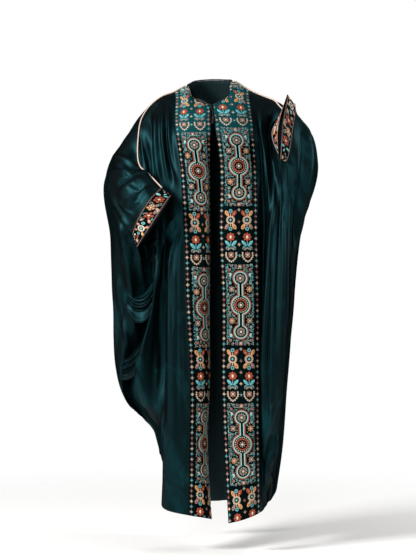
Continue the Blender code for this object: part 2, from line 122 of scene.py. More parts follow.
RIGHT_BACK = {
    "forearm": ((-234, -172, -325), (-268, -168, -400), (-295, -114), (-268, -86), (-280, -42, -1010),
                (-188, 50), (-171, 76, -1200)),
    "crook": ((-290, -72, -262), (-338, -30, -300), (-323, -40), (-314, -36), (-284, -10, -1010), (-190, 58),
              (-170, 86, -1208)),
    "lower arm": ((-306, 4, -212), (-347, 34, -286), (-333, 22), (-324, 24), (-286, 30, -1005), (-190, 70),
                  (-167, 94, -1220)),
    "upper arm": ((-281, 46, -152), (-328, 82, -240), (-316, 78), (-308, 82), (-272, 78, -995), (-184, 88),
                  (-160, 106, -1240)),
    "cuff": ((-192, -220, -368), (-228, -214, -422), None, None, None, None, None),
}
LEFT_FRONT = {
    "edge": ((10, -112), (24, -132), (24, -135), (32, -136), (32, -136), (38, -136), (52, -140, -1400)),
    "band": ((132, -92), (140, -118), (145, -130), (149, -134), (149, -130), (149, -128), (152, -128, -1368)),
    "yoke": ((147, -78), (156, -96), (163, -102), (162, -108), (155, -100), (155, -98), (168, -100, -1358)),
    "shoulder": ((157, -88), (171, -112), (186, -136), (175, -148), (165, -138), (164, -126),
                 (173, -88, -1354)),
    "upper arm": ((167, -74), (183, -96), (200, -142), (192, -154), (182, -146), (178, -130),
                  (180, -60, -1346)),
    "lower arm": ((175, -60), (194, -92), (216, -144), (211, -152), (201, -142), (196, -120),
                  (191, -30, -1340)),
    "crook": ((182, -50, -138), (205, -104, -256), (230, -142), (228, -148), (217, -130), (210, -100),
              (200, 0, -1334)),
    "forearm": ((188, -58, -146), (217, -124, -262), (239, -136), (239, -138), (230, -112), (222, -74),
                (208, 22, -1324)),
    "cuff": ((192, -84, -152), (236, -150), (247, -120), (245, -120), (239, -80), (230, -36),
             (214, 40, -1310)),
}
LEFT_BACK = {
    "forearm": ((294, -124, -145), (282, -158), (258, -98), (252, -92), (243, -50), (234, -10),
                (215, 56, -1306)),
    "crook": ((320, -78, -160), (330, -104), (282, -72), (264, -60), (245, -20), (234, 16), (213, 72, -1304)),
    "lower arm": ((318, -20, -150), (343, -36), (284, -16), (266, -10), (244, 20), (231, 44),
                  (208, 88, -1306)),
    "upper arm": ((294, 36, -130), (326, 36), (277, 40), (260, 42), (240, 58), (226, 70), (200, 104, -1312)),
    "cuff": ((258, -152, -150), None, None, None, None, None, None),
}
CENTRE_BACK = ((115, -120), (140, -250), (148, -480), (155, -690), (164, -960), (162, -1130), (172, -1370))
# Mouth of each cuff: top, body side, bottom and outer side
RIGHT_MOUTH = (
    (-128, -192, -362), (-180, -160, -450), (-236, -168, -524), (-182, -228, -446),
)
LEFT_MOUTH = (
    (240, -130, -36), (211, -124, -140), (213, -188, -248), (222, -180, -130),
)
CUFF_STEPS = 10                 # quads along a cuff


def through(points, steps, before=None, after=None):
    """Points on a smooth line through the given ones. before and after are points past its two ends."""
    points = np.asarray(points, float)
    path = [points]
    if before is not None:
        path = [np.asarray(before)[None]] + path
    if after is not None:
        path = path + [np.asarray(after)[None]]
    path = np.concatenate(path)
    span = np.linalg.norm(np.diff(path, axis=0), axis=-1, keepdims=True) + 1e-9
    slope = np.diff(path, axis=0) / span
    tangent = (slope[:-1] * span[1:] + slope[1:] * span[:-1]) / (span[1:] + span[:-1])
    if before is None:
        tangent = np.concatenate([1.5 * slope[:1] - 0.5 * tangent[:1], tangent])
    else:
        span = span[1:]
    if after is None:
        tangent = np.concatenate([tangent, 1.5 * slope[-1:] - 0.5 * tangent[-1:]])
    rows = []
    for i, count in enumerate(steps):
        for t in np.arange(count) / count:
            rows.append((2 * t**3 - 3 * t**2 + 1) * points[i]
                        + (t**3 - 2 * t**2 + t) * span[i] * tangent[i]
                        + (3 * t**2 - 2 * t**3) * points[i + 1]
                        + (t**3 - t**2) * span[i] * tangent[i + 1])
    return np.array(rows + [points[-1]])


def unit(vectors):
    """The same directions, each 1 long."""
    return vectors / np.maximum(np.linalg.norm(vectors, axis=-1, keepdims=True), 1e-9)


def smooth(low, high, value):
    """0 below low, 1 above high, and an even change between them."""
    t = np.clip((value - low) / (high - low), 0, 1)
    return t * t * (3 - 2 * t)


def fold_line(top, cells):
    """A fold line's points: its top, then one at each section."""
    line = [top]
    for section, cell in zip(SECTIONS[1:], cells):
        x, y, *own = np.array(cell) / 1000
        line.append((x, y, own[0] if own else HEIGHT[section]))
    return np.array(line)


def front_neck(turn, side):
    """A point of the neck's front edge: turn is 0 at the closure and 1 at the shoulder."""
    angle = turn * math.pi / 2
    drop = math.cos(angle) ** NECK_DIP if turn < 1 else 0
    start = math.copysign(CLOSURE_GAP / 2, side[0])
    return np.array((start + (side[0] - start) * math.sin(angle), -NECK_FRONT * math.cos(angle),
                     side[2] + (NECK_FRONT_HEIGHT - side[2]) * drop))


def front_lines(seam, table):
    """The fold lines of one front, from its opening to the cuff."""
    seam = dict(zip(SEAM_LINES, np.array(seam) / 1000))
    edge = fold_line(front_neck(0, seam["neck"]), table["edge"])
    band = fold_line(seam["band"], table["band"])
    # Where a band's edges are closer than it is wide it curls out, in a parabola as long as its width.
    chord = (band - edge)[1:]
    length = np.linalg.norm(chord, axis=1, keepdims=True)
    rise = np.sqrt(3 / 16 * np.maximum(BAND_WIDTH**2 - length**2, 0))
    out = np.cross(chord, (0, 0, math.copysign(1, band[0][0]))) / length
    lines = [edge]
    for part, top in ((1 / 3, front_neck(0.5, seam["neck"])), (2 / 3, np.array(seam["neck"]))):
        arc = edge[1:] + part * chord + 4 * rise * part * (1 - part) * out
        lines.append(np.concatenate([top[None], arc]))
    lines.append(band)
    return lines + [fold_line(seam[name], table[name]) for name in SEAM_LINES[2:]]


def back_lines(seam, table, front, centre):
    """The fold lines of one half of the back, from the cuff to halfway round the back of the neck."""
    seam = dict(zip(SEAM_LINES, np.array(seam) / 1000))
    cuff = front[-1].copy()
    for row, cell in enumerate(table["cuff"], 1):
        if cell is not None:
            x, y, *own = np.array(cell) / 1000
            cuff[row] = (x, y, own[0] if own else HEIGHT[SECTIONS[row]])
    lines = [cuff]
    for name in ("forearm", "crook", "lower arm", "upper arm"):
        lines.append(fold_line(seam[name], table[name]))
    outer = lines[-1]
    turn = math.radians(45)
    neck = np.array(seam["neck"])
    seam["back neck"] = (neck[0] * math.cos(turn), NECK_BACK * math.sin(turn),
                         neck[2] + (NECK_BACK_HEIGHT - neck[2]) * math.sin(turn))
    # Five lines lie round a quarter of an oval from the outer line to the middle of the back. They stand out
    # and in by turns: by half at the arm, and fully from the waist down.
    names = ("shoulder", "yoke", "band", "neck", "back neck")
    arm = SECTIONS.index("arm")
    for place, name in enumerate(names, 1):
        angle = place / (len(names) + 1) * math.pi / 2
        share = np.array((1 - math.cos(angle), math.sin(angle), math.sin(angle) ** BACK_RISE))
        line = outer + (centre - outer) * share
        line[arm + 1:, 1] += PLEAT * (1 if place % 2 else -1)
        line[arm, 1] += PLEAT * (0.5 if place % 2 else -0.5)
        line[0] = seam[name]
        lines.append(line)
    return lines


def filled(lines, past, ends):
    """The points of a panel. past rounds its top. ends holds the other half's line at a sleeve's end."""
    rows = []
    for i, (line, point) in enumerate(zip(lines, past)):
        if i in ends:
            mate, count = ends[i]
            ring = through(line[:count + 1], ROWS[:count], before=mate[1], after=mate[count - 1])
            rows.append(np.concatenate([ring[:-1], through(line[count:], ROWS[count:])]))
        else:
            rows.append(through(line, ROWS, before=point))
    return through(np.array(rows), [ACROSS] * (len(rows) - 1))


def facing(grid, turn):
    """The way that a grid faces at each point. turn is -1 where its rows run the other way."""
    return unit(np.cross(np.gradient(grid, axis=0), np.gradient(grid, axis=1))) * turn


def panels():
    """The smooth form of the whole garment: a grid of points and of outward directions for each part."""
    middle = [(0, y / 1000, z / 1000) for y, z in CENTRE_BACK]
    centre_line = np.array([(0, NECK_BACK, NECK_BACK_HEIGHT)] + middle)
    half = {}
    for hand, seam, front_table, back_table in (("right", RIGHT_SEAM, RIGHT_FRONT, RIGHT_BACK),
                                                ("left", LEFT_SEAM, LEFT_FRONT, LEFT_BACK)):
        front = front_lines(seam, front_table)
        half[hand] = (front, back_lines(seam, back_table, front, centre_line))
    lines = half["right"][1] + [centre_line] + half["left"][1][::-1]
    past = []
    for hand in ("right", "left"):
        front = half[hand][0]
        own = [None] + [line[1] for line in front[-2:2:-1]] + [front[2][1], None]
        past += own[::-1] if hand == "left" else own + [None]
    ends = {0: (half["right"][0][-1], RING["right"]), len(lines) - 1: (half["left"][0][-1], RING["left"])}
    back = filled(lines, past, ends)
    back_out = facing(back, 1)
    made = {"back": (back, back_out)}
    for hand, turn in (("right", 1), ("left", -1)):
        ring_rows = RING_ROWS[hand]
        front, own_back = half[hand]
        past = [None, None] + [line[1] for line in own_back[-2:0:-1]] + [None]
        # At the crook of the arm a front isn't rounded over to the back.
        past[TO_SEAM // ACROSS + SEAM_LINES.index("crook")] = None
        grid = filled(front, past, {len(front) - 1: (own_back[0], RING[hand])})
        out = facing(grid, turn)
        # mate is the half of the back that this front is sewn to: the two share their seams' points.
        sewn = slice(ALONG_ARM, None, -1) if hand == "right" else slice(-ALONG_ARM - 1, None)
        mate, mate_out = back[sewn], back_out[sewn]
        mate[:, 0] = grid[TO_SEAM:, 0]
        shared = unit(out[TO_SEAM:, 0] + mate_out[:, 0])
        out[TO_SEAM:, 0] = shared
        mate_out[:, 0] = shared
        mate[-1, ring_rows:] = grid[-1, ring_rows:]
        shared = unit(out[-1, ring_rows:] + mate_out[-1, ring_rows:])
        out[-1, ring_rows:] = shared
        mate_out[-1, ring_rows:] = shared
        made[hand] = (grid, out, mate, mate_out)
    return made


def cuff_ring(hand, mouth):
    """The points of a cuff, round the sleeve's end and along it to the mouth."""
    grid, out, mate, mate_out = cloth[hand]
    ring_rows = RING_ROWS[hand]
    start = np.concatenate([grid[-1, :ring_rows], mate[-1, ring_rows:0:-1]])
    steps = MOUTH_STEPS[hand]
    mouth = np.array(mouth) / 1000
    end = through([*mouth, mouth[0]], steps, before=mouth[3], after=mouth[1])[:-1]
    # The sleeve's end has more points than the mouth, so the mouth's are shared out among them.
    place = np.arange(len(start)) * len(end) / len(start)
    low = np.floor(place).astype(int)
    part = (place - low)[:, None]
    end = end[low % len(end)] * (1 - part) + end[(low + 1) % len(end)] * part
    ring = np.array([start + (end - start) * i / CUFF_STEPS for i in range(CUFF_STEPS + 1)]).swapaxes(0, 1)
    wrapped = np.concatenate([ring[-1:], ring, ring[:1]])
    return ring, facing(wrapped, -1 if hand == "right" else 1)[1:-1]


# Folds too fine for the solids, in millimetres, as seen from straight in front. Each row is one fold: its
# half-width, its height, which is below 0 for a valley, and the (x, z) of the points of its line.

FRONT_FOLDS = (
    # Down from the right shoulder
    (9, 10.5, (-176, -67), (-181, -179), (-173, -275), (-160, -346)),
    (7, 10.5, (-155, -54), (-157, -179), (-144, -275), (-131, -346)),
    (6, 7.5, (-136, -61), (-136, -179), (-122, -259), (-106, -320)),
    (10, 13.5, (-224, -102), (-221, -179), (-216, -243), (-205, -339)),
    (7, -9, (-198, -77), (-200, -179), (-195, -269), (-179, -358)),
    (5, -7.5, (-146, -90), (-147, -179), (-133, -269), (-115, -333)),
    # Round the right elbow
    (8, 9, (-240, -272), (-269, -250), (-307, -234), (-336, -243)),
    (8, 9, (-234, -278), (-272, -282), (-314, -282), (-339, -310)),
    (5, -7, (-243, -272), (-288, -266), (-330, -262)),
    (9, 10.5, (-205, -294), (-243, -307), (-282, -339), (-301, -384)),
    (5, -7, (-224, -288), (-266, -301), (-307, -330)),
    (8, 7, (-192, -326), (-227, -358), (-250, -390), (-291, -406)),
    (5, -7, (-208, -323), (-250, -349), (-278, -381)),
    (4, -3.5, (-272, -320), (-253, -339), (-227, -336)),
    # Down the right sleeve from its elbow
    (8, 10.5, (-330, -339), (-301, -403), (-258, -469), (-221, -531)),
    (10, 15, (-323, -381), (-285, -470), (-274, -538), (-262, -643), (-253, -755), (-246, -835),
     (-259, -883), (-288, -944)),
    (6, -10.5, (-320, -362), (-291, -438), (-259, -499), (-243, -570), (-234, -659)),
    (7, -9, (-330, -419), (-307, -499), (-298, -595), (-291, -723), (-291, -851)),
    (9, 9, (-336, -451), (-323, -563), (-317, -691), (-314, -819), (-301, -922)),
    # Under the right cuff
    (6, 9, (-224, -509), (-198, -518), (-170, -493)),
    (6, 9, (-230, -550), (-205, -566), (-176, -544)),
    # Down the right front
    (5, -9, (-106, -435), (-134, -515), (-147, -627), (-150, -762)),
    (4, -4.5, (-96, -442), (-115, -515), (-122, -627)),
    (8, 3, (-120, -531), (-122, -787), (-125, -1075), (-128, -1331)),
    (6, 3, (-102, -474), (-104, -691), (-101, -947), (-99, -1139)),
    (5, -3, (-112, -563), (-112, -819), (-112, -1107)),
    (5, -2.5, (-90, -691), (-86, -1011), (-86, -1331)),
    # Down from the left shoulder
    (6, 7.5, (144, -77), (142, -147), (147, -259), (150, -371)),
    (6, 5, (176, -90), (173, -179), (177, -243)),
    (6, -8, (160, -90), (160, -179), (170, -291), (168, -435), (160, -620)),
    (5, -5, (189, -109), (186, -179), (192, -275)),
    # Spreading below the left cuff
    (6, 9, (208, -246), (197, -371), (189, -467), (176, -691), (166, -851), (160, -1011), (170, -1187)),
    (7, 9, (238, -246), (243, -371), (243, -531), (242, -691), (237, -883)),
    (5, -6, (221, -262), (218, -403), (211, -563), (206, -755), (202, -947)),
    (6, 7.5, (227, -339), (227, -531), (222, -723), (214, -1011)),
    (5, -7.5, (192, -499), (184, -691), (179, -883), (176, -1107)),
    # Down the outer side of the left sleeve
    (10, 12, (275, -83), (301, -147), (317, -218), (304, -314), (285, -419), (272, -547)),
    (7, -10.5, (272, -109), (288, -186), (282, -291), (266, -419), (259, -563)),
    (8, 4, (256, -259), (262, -371), (256, -531), (253, -755)),
    (9, 9, (323, -275), (304, -387), (285, -515), (272, -691), (259, -915)),
    (6, -9, (310, -339), (291, -451), (275, -579), (262, -755)),
    (5, -7.5, (250, -467), (246, -659), (243, -851), (237, -1075)),
    (4, 4.5, (294, -118), (310, -138), (330, -176)),
    (4, -3.5, (282, -138), (301, -166), (317, -202)),
    # At the left hem
    (5, 10.5, (218, -1101), (195, -1171), (176, -1235), (192, -1274), (214, -1306)),
    (5, -10.5, (205, -1107), (181, -1171), (160, -1235), (176, -1286)),
    (6, 7.5, (195, -1011), (179, -1107), (163, -1187)),
    # From beside the right band to the side
    (7, 10.5, (-109, -410), (-138, -461), (-163, -531), (-176, -611), (-189, -691)),
    (5, 10.5, (-99, -413), (-125, -474), (-134, -570), (-136, -755), (-138, -947), (-141, -1171)),
    (5, -7.5, (-128, -483), (-130, -595), (-128, -819)),
    (4, 3.5, (-109, -493), (-118, -570), (-120, -787)),
    # Small creases over the right forearm
    (3.5, 3.5, (-317, -234), (-282, -243), (-243, -262)),
    (3.5, -3.5, (-320, -246), (-285, -253), (-253, -272)),
    (3.5, 3.5, (-330, -275), (-298, -262), (-262, -256)),
    (4, 3.5, (-288, -278), (-256, -291), (-221, -278)),
    (3.5, -3.5, (-278, -301), (-246, -307), (-211, -291)),
    (4, 4.5, (-259, -333), (-237, -314), (-205, -307)),
    (3.5, -3.5, (-256, -349), (-227, -330), (-198, -323)),
    (4, 3.5, (-250, -365), (-221, -346), (-192, -336)),
    (4, 3, (-275, -371), (-246, -381), (-218, -368)),
    (3.5, 3.5, (-234, -278), (-211, -301), (-192, -323)),
    (5, 5, (-298, -378), (-272, -406), (-243, -422)),
    # Low on the right sleeve
    (5, 7.5, (-304, -602), (-298, -691), (-282, -787), (-259, -858)),
    (5, -7.5, (-291, -570), (-282, -666), (-269, -739)),
)
# Folds of the back, seen from straight behind, in the same way
BACK_FOLDS = (
    (14, 10, (-150, -60), (-190, -250), (-205, -520), (-190, -860), (-150, -1200)),
    (12, -9, (-110, -80), (-150, -300), (-165, -640), (-140, -1000), (-120, -1330)),
    (15, 9, (-70, -50), (-100, -330), (-118, -700), (-100, -1080), (-85, -1370)),
    (10, -7, (-35, -120), (-60, -420), (-70, -820), (-55, -1300)),
    (13, 8, (-10, -60), (-20, -350), (-28, -760), (-12, -1100), (-10, -1390)),
    (10, -8, (20, -160), (22, -520), (30, -900), (36, -1360)),
    (14, 9, (50, -50), (68, -300), (80, -640), (76, -1020), (84, -1340)),
    (11, -8, (95, -100), (118, -360), (128, -760), (120, -1180)),
    (14, 9, (135, -50), (165, -230), (178, -560), (166, -940), (160, -1300)),
    (9, -7, (190, -110), (215, -320), (222, -640), (206, -1020)),
    (12, 8, (225, -80), (262, -260), (252, -520), (236, -900)),
    (20, 8, (-325, -270), (-280, -330), (-215, -380), (-130, -400)),
    (22, 8, (-335, -440), (-285, -530), (-215, -590), (-140, -615)),
    (18, 6, (-315, -590), (-280, -710), (-225, -800), (-165, -850)),
    (18, 7, (320, -180), (275, -270), (205, -335), (120, -360)),
)
# Swags that bridge the hollow under the right sleeve: the (x, z, y) of the lower edge of each, and its
# section from the top down, as (height above that edge, depth behind it)
SWAGS = (
    (((-275, -723, -88), (-259, -746, -104), (-243, -762, -111), (-224, -765, -117), (-205, -752, -125),
      (-194, -733, -129), (-186, -710, -124), (-176, -685, -108)),
     ((116, 100), (96, 60), (84, 22), (77, 2), (72, 0), (67, 6), (62, 8), (57, 2), (52, -2), (47, 6),
      (42, 14), (36, 8), (26, 5), (16, 1), (7, -3), (1, 0), (-2, 10), (-2, 30), (2, 60), (8, 100))),
    (((-301, -947, -48), (-288, -950, -68), (-269, -947, -82), (-253, -938, -96), (-237, -922, -110),
      (-227, -906, -117), (-221, -890, -112), (-211, -864, -96)),
     ((92, 90), (82, 50), (74, 14), (68, 2), (63, 2), (57, 12), (52, 10), (47, 1), (42, 2), (36, 13),
      (30, 8), (20, -3), (10, -6), (3, -2), (-2, 8), (-2, 26), (2, 50), (8, 80))),
)
# Troughs that go further back than the solid's form: half-width, and the (x, z, y) of the line
TROUGHS = (
    (17, (-150, -570, -120), (-154, -627, -112), (-157, -691, -104), (-158, -787, -98), (-158, -915, -96),
     (-163, -1043, -104), (-166, -1171, -125)),
)
FOLD_START, FOLD_END = 0.22, 0.30       # shares of its line over which a fold rises, and dies away
TROUGH_START, TROUGH_END = 0.2, 0.45    # the same for a trough
VALLEY = 1.4                    # a ridge has a round crest, and a valley a sharper bottom
FLAT_BOTTOM = 5                 # a trough's sides are steep, and its bottom wide
DEEPEST = 0.09                  # what lies further in front of a trough's line isn't pushed back
NARROWED = 0.25                 # how much a swag's folds draw together towards its two ends
FOLDS_SHOW = (0.10, 0.45)       # how far cloth faces the front or back as folds begin to show, and show fully
WAVES = (34, 47, 61, 88, 120, 170)      # radians a metre
SHAKE = 0.0009                  # height of the soft waves all over the velvet
CAMERA = (-0.0128, -5.5, -0.6192)
PAPER = 5.4                     # from the camera to the plane that the photograph's scale is true on
FRAME_ROWS = 555                # the photograph's height in pixels
PIXEL = 0.0032                  # what a pixel covers on that plane
# Name, place, size and power in watts
LAMPS = (("key", (-3.2, -2.4, 1.3), 1.2, 260), ("front", (-0.8, -5.0, 0.5), 1.0, 80),
         ("side", (3.7, -0.9, 0.5), 1.2, 80), ("back", (1.6, 4.2, 1.6), 1.6, 90))
LIT = (0, 0, -0.6)              # what the lamps are turned to
ROOM_LIGHT = 0.18


def seen(points):
    """Where points show on an upright plane at the front of the garment, as (x, z)."""
    reach = (points - CAMERA) * (PAPER / (points[..., 1:2] - CAMERA[1]))
    return reach[..., ::2] + (CAMERA[0], CAMERA[2])


def beside(places, line):
    """How far each place is from a line, how far along the line that is, and the line's depth there."""
    line = through(np.array(line) / 1000, [4] * (len(line) - 1))
    flat = line[:, :2]
    sizes = np.linalg.norm(np.diff(flat, axis=0), axis=1)
    run = np.concatenate([[0], np.cumsum(sizes)]) / sizes.sum()
    nearest = np.full(places.shape[:-1], np.inf)
    along = np.zeros(nearest.shape)
    for a, b, start, end in zip(flat, flat[1:], run, run[1:]):
        share = np.clip(((places - a) @ (b - a)) / ((b - a) @ (b - a)), 0, 1)
        away = np.linalg.norm(places - a - share[..., None] * (b - a), axis=-1)
        closer = away < nearest
        nearest = np.where(closer, away, nearest)
        along = np.where(closer, start + share * (end - start), along)
    return nearest, along, np.interp(along, run, line[:, -1])


def creased(places, folds):
    """The height of the folds at each place, in metres."""
    height = np.zeros(places.shape[:-1])
    for width, rise, *line in folds:
        nearest, along, _ = beside(places, line)
        fade = smooth(0, FOLD_START, along) * smooth(0, FOLD_END, 1 - along)
        side = nearest / (width / 1000)
        shape = np.exp(-side**2) if rise > 0 else np.exp(-(side**VALLEY))
        height += rise / 1000 * fade * shape
    return height


def hollowed(grid):
    """The grid with its troughs pushed back."""
    places = seen(grid)
    grid = grid.copy()
    for width, *line in TROUGHS:
        nearest, along, depth = beside(places, line)
        short = np.maximum(0, depth - grid[..., 1])
        short *= smooth(0, TROUGH_START, along) * smooth(0, TROUGH_END, 1 - along) * (short < DEEPEST)
        grid[..., 1] += short * np.exp(-((nearest / (width / 1000)) ** FLAT_BOTTOM))
    return grid


def swag(line, section):
    """A swag's grid of points, from left to right and from the top down."""
    line = through(np.array(line) / 1000, [4] * (len(line) - 1))
    section = through(np.array(section) / 1000, [3] * (len(section) - 1))
    grid = np.empty((len(line), len(section), 3))
    share = np.linspace(-1, 1, len(line))[:, None]
    grid[..., 0] = line[:, :1]
    grid[..., 1] = line[:, 2:] + section[None, :, 1]
    grid[..., 2] = line[:, 1:2] + section[None, :, 0] * (1 - NARROWED * share**2)
    return grid


def shaken(places):
    """Soft uneven waves, longer down the cloth than across it."""
    chance = np.random.default_rng(11)
    height = np.zeros(places.shape[:-1])
    for size in WAVES:
        for _ in range(3):
            turn, start = chance.uniform(-0.5, 0.5), chance.uniform(0, 6.3)
            way = np.array((math.cos(turn), 0.35 * math.sin(turn)))
            height += np.sin(places @ way * size + start) / 3
    return height * SHAKE


def calm(field):
    """Directions evened out with their neighbours'."""
    for _ in range(6):
        inner = field[1:-1, 1:-1] * 2
        for near in (field[:-2, 1:-1], field[2:, 1:-1], field[1:-1, :-2], field[1:-1, 2:]):
            inner = inner + near
        field = field.copy()
        field[1:-1, 1:-1] = unit(inner)
    return field


def draped(grid, out, first=0):
    """The grid with its fine folds. They fade out at its top, and over its first columns if any are given."""
    columns, rows = grid.shape[:2]
    flat, grid = grid, hollowed(grid)
    way = calm(out)
    front = smooth(*FOLDS_SHOW, -way[..., 1])
    behind = smooth(*FOLDS_SHOW, way[..., 1])
    height = creased(seen(grid), FRONT_FOLDS) * front + creased(grid[..., ::2], BACK_FOLDS) * behind
    height += shaken(grid[..., ::2] + grid[..., 1:2] * (0.7, 0.2))
    keep = np.ones((columns, rows))
    if first:
        keep *= smooth(0, first, np.arange(columns)[:, None])
    keep *= smooth(0, 4, np.arange(rows)[None])
    return flat + (grid + way * height[..., None] - flat) * keep[..., None]


def past_cuff(hand, grid, order):
    """How much of its folds a panel keeps: none beside the cuff, and all over the side seam below it."""
    columns, rows = grid.shape[:2]
    near = smooth(RING_ROWS[hand] - 2, RING_ROWS[hand] + 12, np.arange(rows))[None]
    side = smooth(0, 5, np.arange(columns)[::order])[:, None]
    return (1 - (1 - side) * (1 - near))[..., None]


def dressed():
    """The points of every panel of the garment, with its fine folds."""
    back, back_out = cloth["back"]
    made = {"back": draped(back, back_out)}
    for hand, order, edge in (("right", 1, 0), ("left", -1, -1)):
        grid, out = cloth[hand][:2]
        flat = grid[TO_BAND:]
        front = draped(flat, out[TO_BAND:], 4)
        front = flat + (front - flat) * past_cuff(hand, flat, -1)
        made["back"] = back + (made["back"] - back) * past_cuff(hand, back, order)
        made["back"][edge, RING_ROWS[hand]:] = front[-1, RING_ROWS[hand]:]
        made[f"{hand}_front"] = front
        made[f"{hand}_band"] = grid[:TO_BAND + 1]
    return made


cloth = panels()
worn = dressed()


# Making meshes and materials

def linear(colour):
    """A hex sRGB colour as linear numbers."""
    parts = [int(colour[i:i + 2], 16) / 255 for i in (1, 3, 5)]
    return tuple(p / 12.92 if p <= 0.04045 else ((p + 0.055) / 1.055) ** 2.4 for p in parts)


def node(tree, kind, inputs=(), **settings):
    """Adds a node. settings are its properties, and inputs hold a value or a linked socket for each input."""
    made = tree.nodes.new(kind)
    for name, value in settings.items():
        setattr(made, name, value)
    for name, value in dict(inputs).items():
        if isinstance(value, bpy.types.NodeSocket):
            tree.links.new(value, made.inputs[name])
        else:
            made.inputs[name].default_value = value
    return made


def new_material(name, **constants):
    """A material whose even values are set on its shader's own sockets."""
    made = bpy.data.materials.new(name)
    made.use_nodes = True
    shader = made.node_tree.nodes["Principled BSDF"]
    for socket, value in constants.items():
        shader.inputs[socket.replace("_", " ")].default_value = value
    return made, made.node_tree, shader


def mixed(tree, first, second, factor):
    """A colour between two others."""
    mix = node(tree, "ShaderNodeMix", data_type="RGBA")
    for socket, value in ((6, first), (7, second)):
        if isinstance(value, bpy.types.NodeSocket):
            tree.links.new(value, mix.inputs[socket])
        else:
            mix.inputs[socket].default_value = (*value, 1)
    tree.links.new(factor, mix.inputs[0])
    return mix.outputs[2]


def surface(tree, shader, colour, pattern, strength, distance):
    """Gives a shader its colour, and the relief of a pattern."""
    tree.links.new(colour, shader.inputs["Base Color"])
    bump = node(tree, "ShaderNodeBump", {"Height": pattern, "Strength": strength, "Distance": distance})
    tree.links.new(bump.outputs[0], shader.inputs["Normal"])


def velvet_material(name, dark, light, gloss, sheen, high=None):
    """Silk velvet on a cotton back: near black where the pile faces the eye, and a tinted shine on its folds.

    high holds the heights between which the colour goes over to the light colour whatever the nap, a painted
    highlight where light falls on the upper part, if it does.
    """
    made, tree, shader = new_material(
        name, Roughness=0.47, Specular_IOR_Level=gloss * 0.6, Specular_Tint=(*linear("#5ccbd9"), 1),
        Sheen_Weight=sheen, Sheen_Roughness=0.45, Sheen_Tint=(*linear("#3a7c82"), 1))
    # Seen along the pile the tips lie over one another, and the shine is lost.
    rim = node(tree, "ShaderNodeLayerWeight", {"Blend": 0.5}).outputs["Facing"]
    shine = node(tree, "ShaderNodeMapRange",
                 {"Value": rim, "From Min": 0.1, "From Max": 0.72, "To Min": gloss, "To Max": 0.0},
                 interpolation_type="SMOOTHSTEP")
    tree.links.new(shine.outputs[0], shader.inputs["Specular IOR Level"])
    place = node(tree, "ShaderNodeTexCoord").outputs["Object"]
    # Where the nap has been brushed up it is lighter, in patches of some centimetres, longer down the cloth.
    long = node(tree, "ShaderNodeVectorMath", {0: place, 1: (1, 1, 0.4)}, operation="MULTIPLY").outputs[0]
    nap = node(tree, "ShaderNodeTexNoise", {"Vector": long, "Scale": 13, "Detail": 6, "Roughness": 0.62,
                                            "Distortion": 0.8})
    brushed = node(tree, "ShaderNodeMapRange", {"Value": nap.outputs[0], "From Min": 0.52, "From Max": 0.74})
    share = brushed.outputs[0]
    # Above those heights the colour goes over to the light one: painted light, where light falls on the upper
    # part of the bands.
    if high:
        height = node(tree, "ShaderNodeSeparateXYZ", {"Vector": place}).outputs[2]
        raised = node(tree, "ShaderNodeMapRange", {"Value": height, "From Min": high[0], "From Max": high[1]})
        share = node(tree, "ShaderNodeMath", {0: share, 1: 0.1}, operation="MULTIPLY").outputs[0]
        share = node(tree, "ShaderNodeMath", {0: share, 1: raised.outputs[0]}, operation="MAXIMUM").outputs[0]
    # The pile's tufts are 0.3 mm apart, drawn about 1.2 mm apart so that they show.
    pile = node(tree, "ShaderNodeTexNoise", {"Vector": place, "Scale": 800, "Detail": 2})
    surface(tree, shader, mixed(tree, dark, light, share), pile.outputs[0], 0.12, 0.0005)
    return made


def backing_material(name, colour):
    """The plain cotton back of velvet: flat and dull, with the fine crossing of its weave."""
    made, tree, shader = new_material(name, Roughness=0.85, Specular_IOR_Level=0.2)
    place = node(tree, "ShaderNodeTexCoord").outputs["Object"]
    # Its threads are 0.4 mm apart, drawn about 1.7 mm apart so that they show.
    weave = node(tree, "ShaderNodeTexNoise", {"Vector": place, "Scale": 600, "Detail": 1})
    # The colour is painted darker where the weave's relief is low: painted shade in its hollows.
    painted_shade = tuple(0.6 * c for c in colour)
    surface(tree, shader, mixed(tree, painted_shade, colour, weave.outputs[0]), weave.outputs[0], 0.3, 0.0003)
    return made


def thread_material(name, colour, step=0.0008, roughness=0.38, relief=0.5):
    """Rayon embroidery thread laid in rows: a soft gloss, broken by the rows' own ridges.

    Real rows are 0.4 mm apart, drawn twice as wide so that they show. Its UV map is in metres, rows along U.
    """
    made, tree, shader = new_material(
        name, Roughness=roughness, Specular_IOR_Level=0.4, Sheen_Weight=0.05, Sheen_Roughness=0.4)
    uv = node(tree, "ShaderNodeUVMap", uv_map="UVMap").outputs[0]
    # At a scale of 1 a wave texture repeats every tau / 20 metres.
    rows = node(tree, "ShaderNodeTexWave", {"Vector": uv, "Scale": math.tau / 20 / step, "Distortion": 0.6},
                bands_direction="X")
    # The colour is painted lighter on the rows' ridges and darker between them: painted light and shade that
    # follow the relief.
    lit = tuple(min(1, 1.3 * c) for c in colour)
    painted_shade = tuple(0.68 * c for c in colour)
    surface(tree, shader, mixed(tree, painted_shade, lit, rows.outputs[1]), rows.outputs[1], relief, 0.0003)
    return made


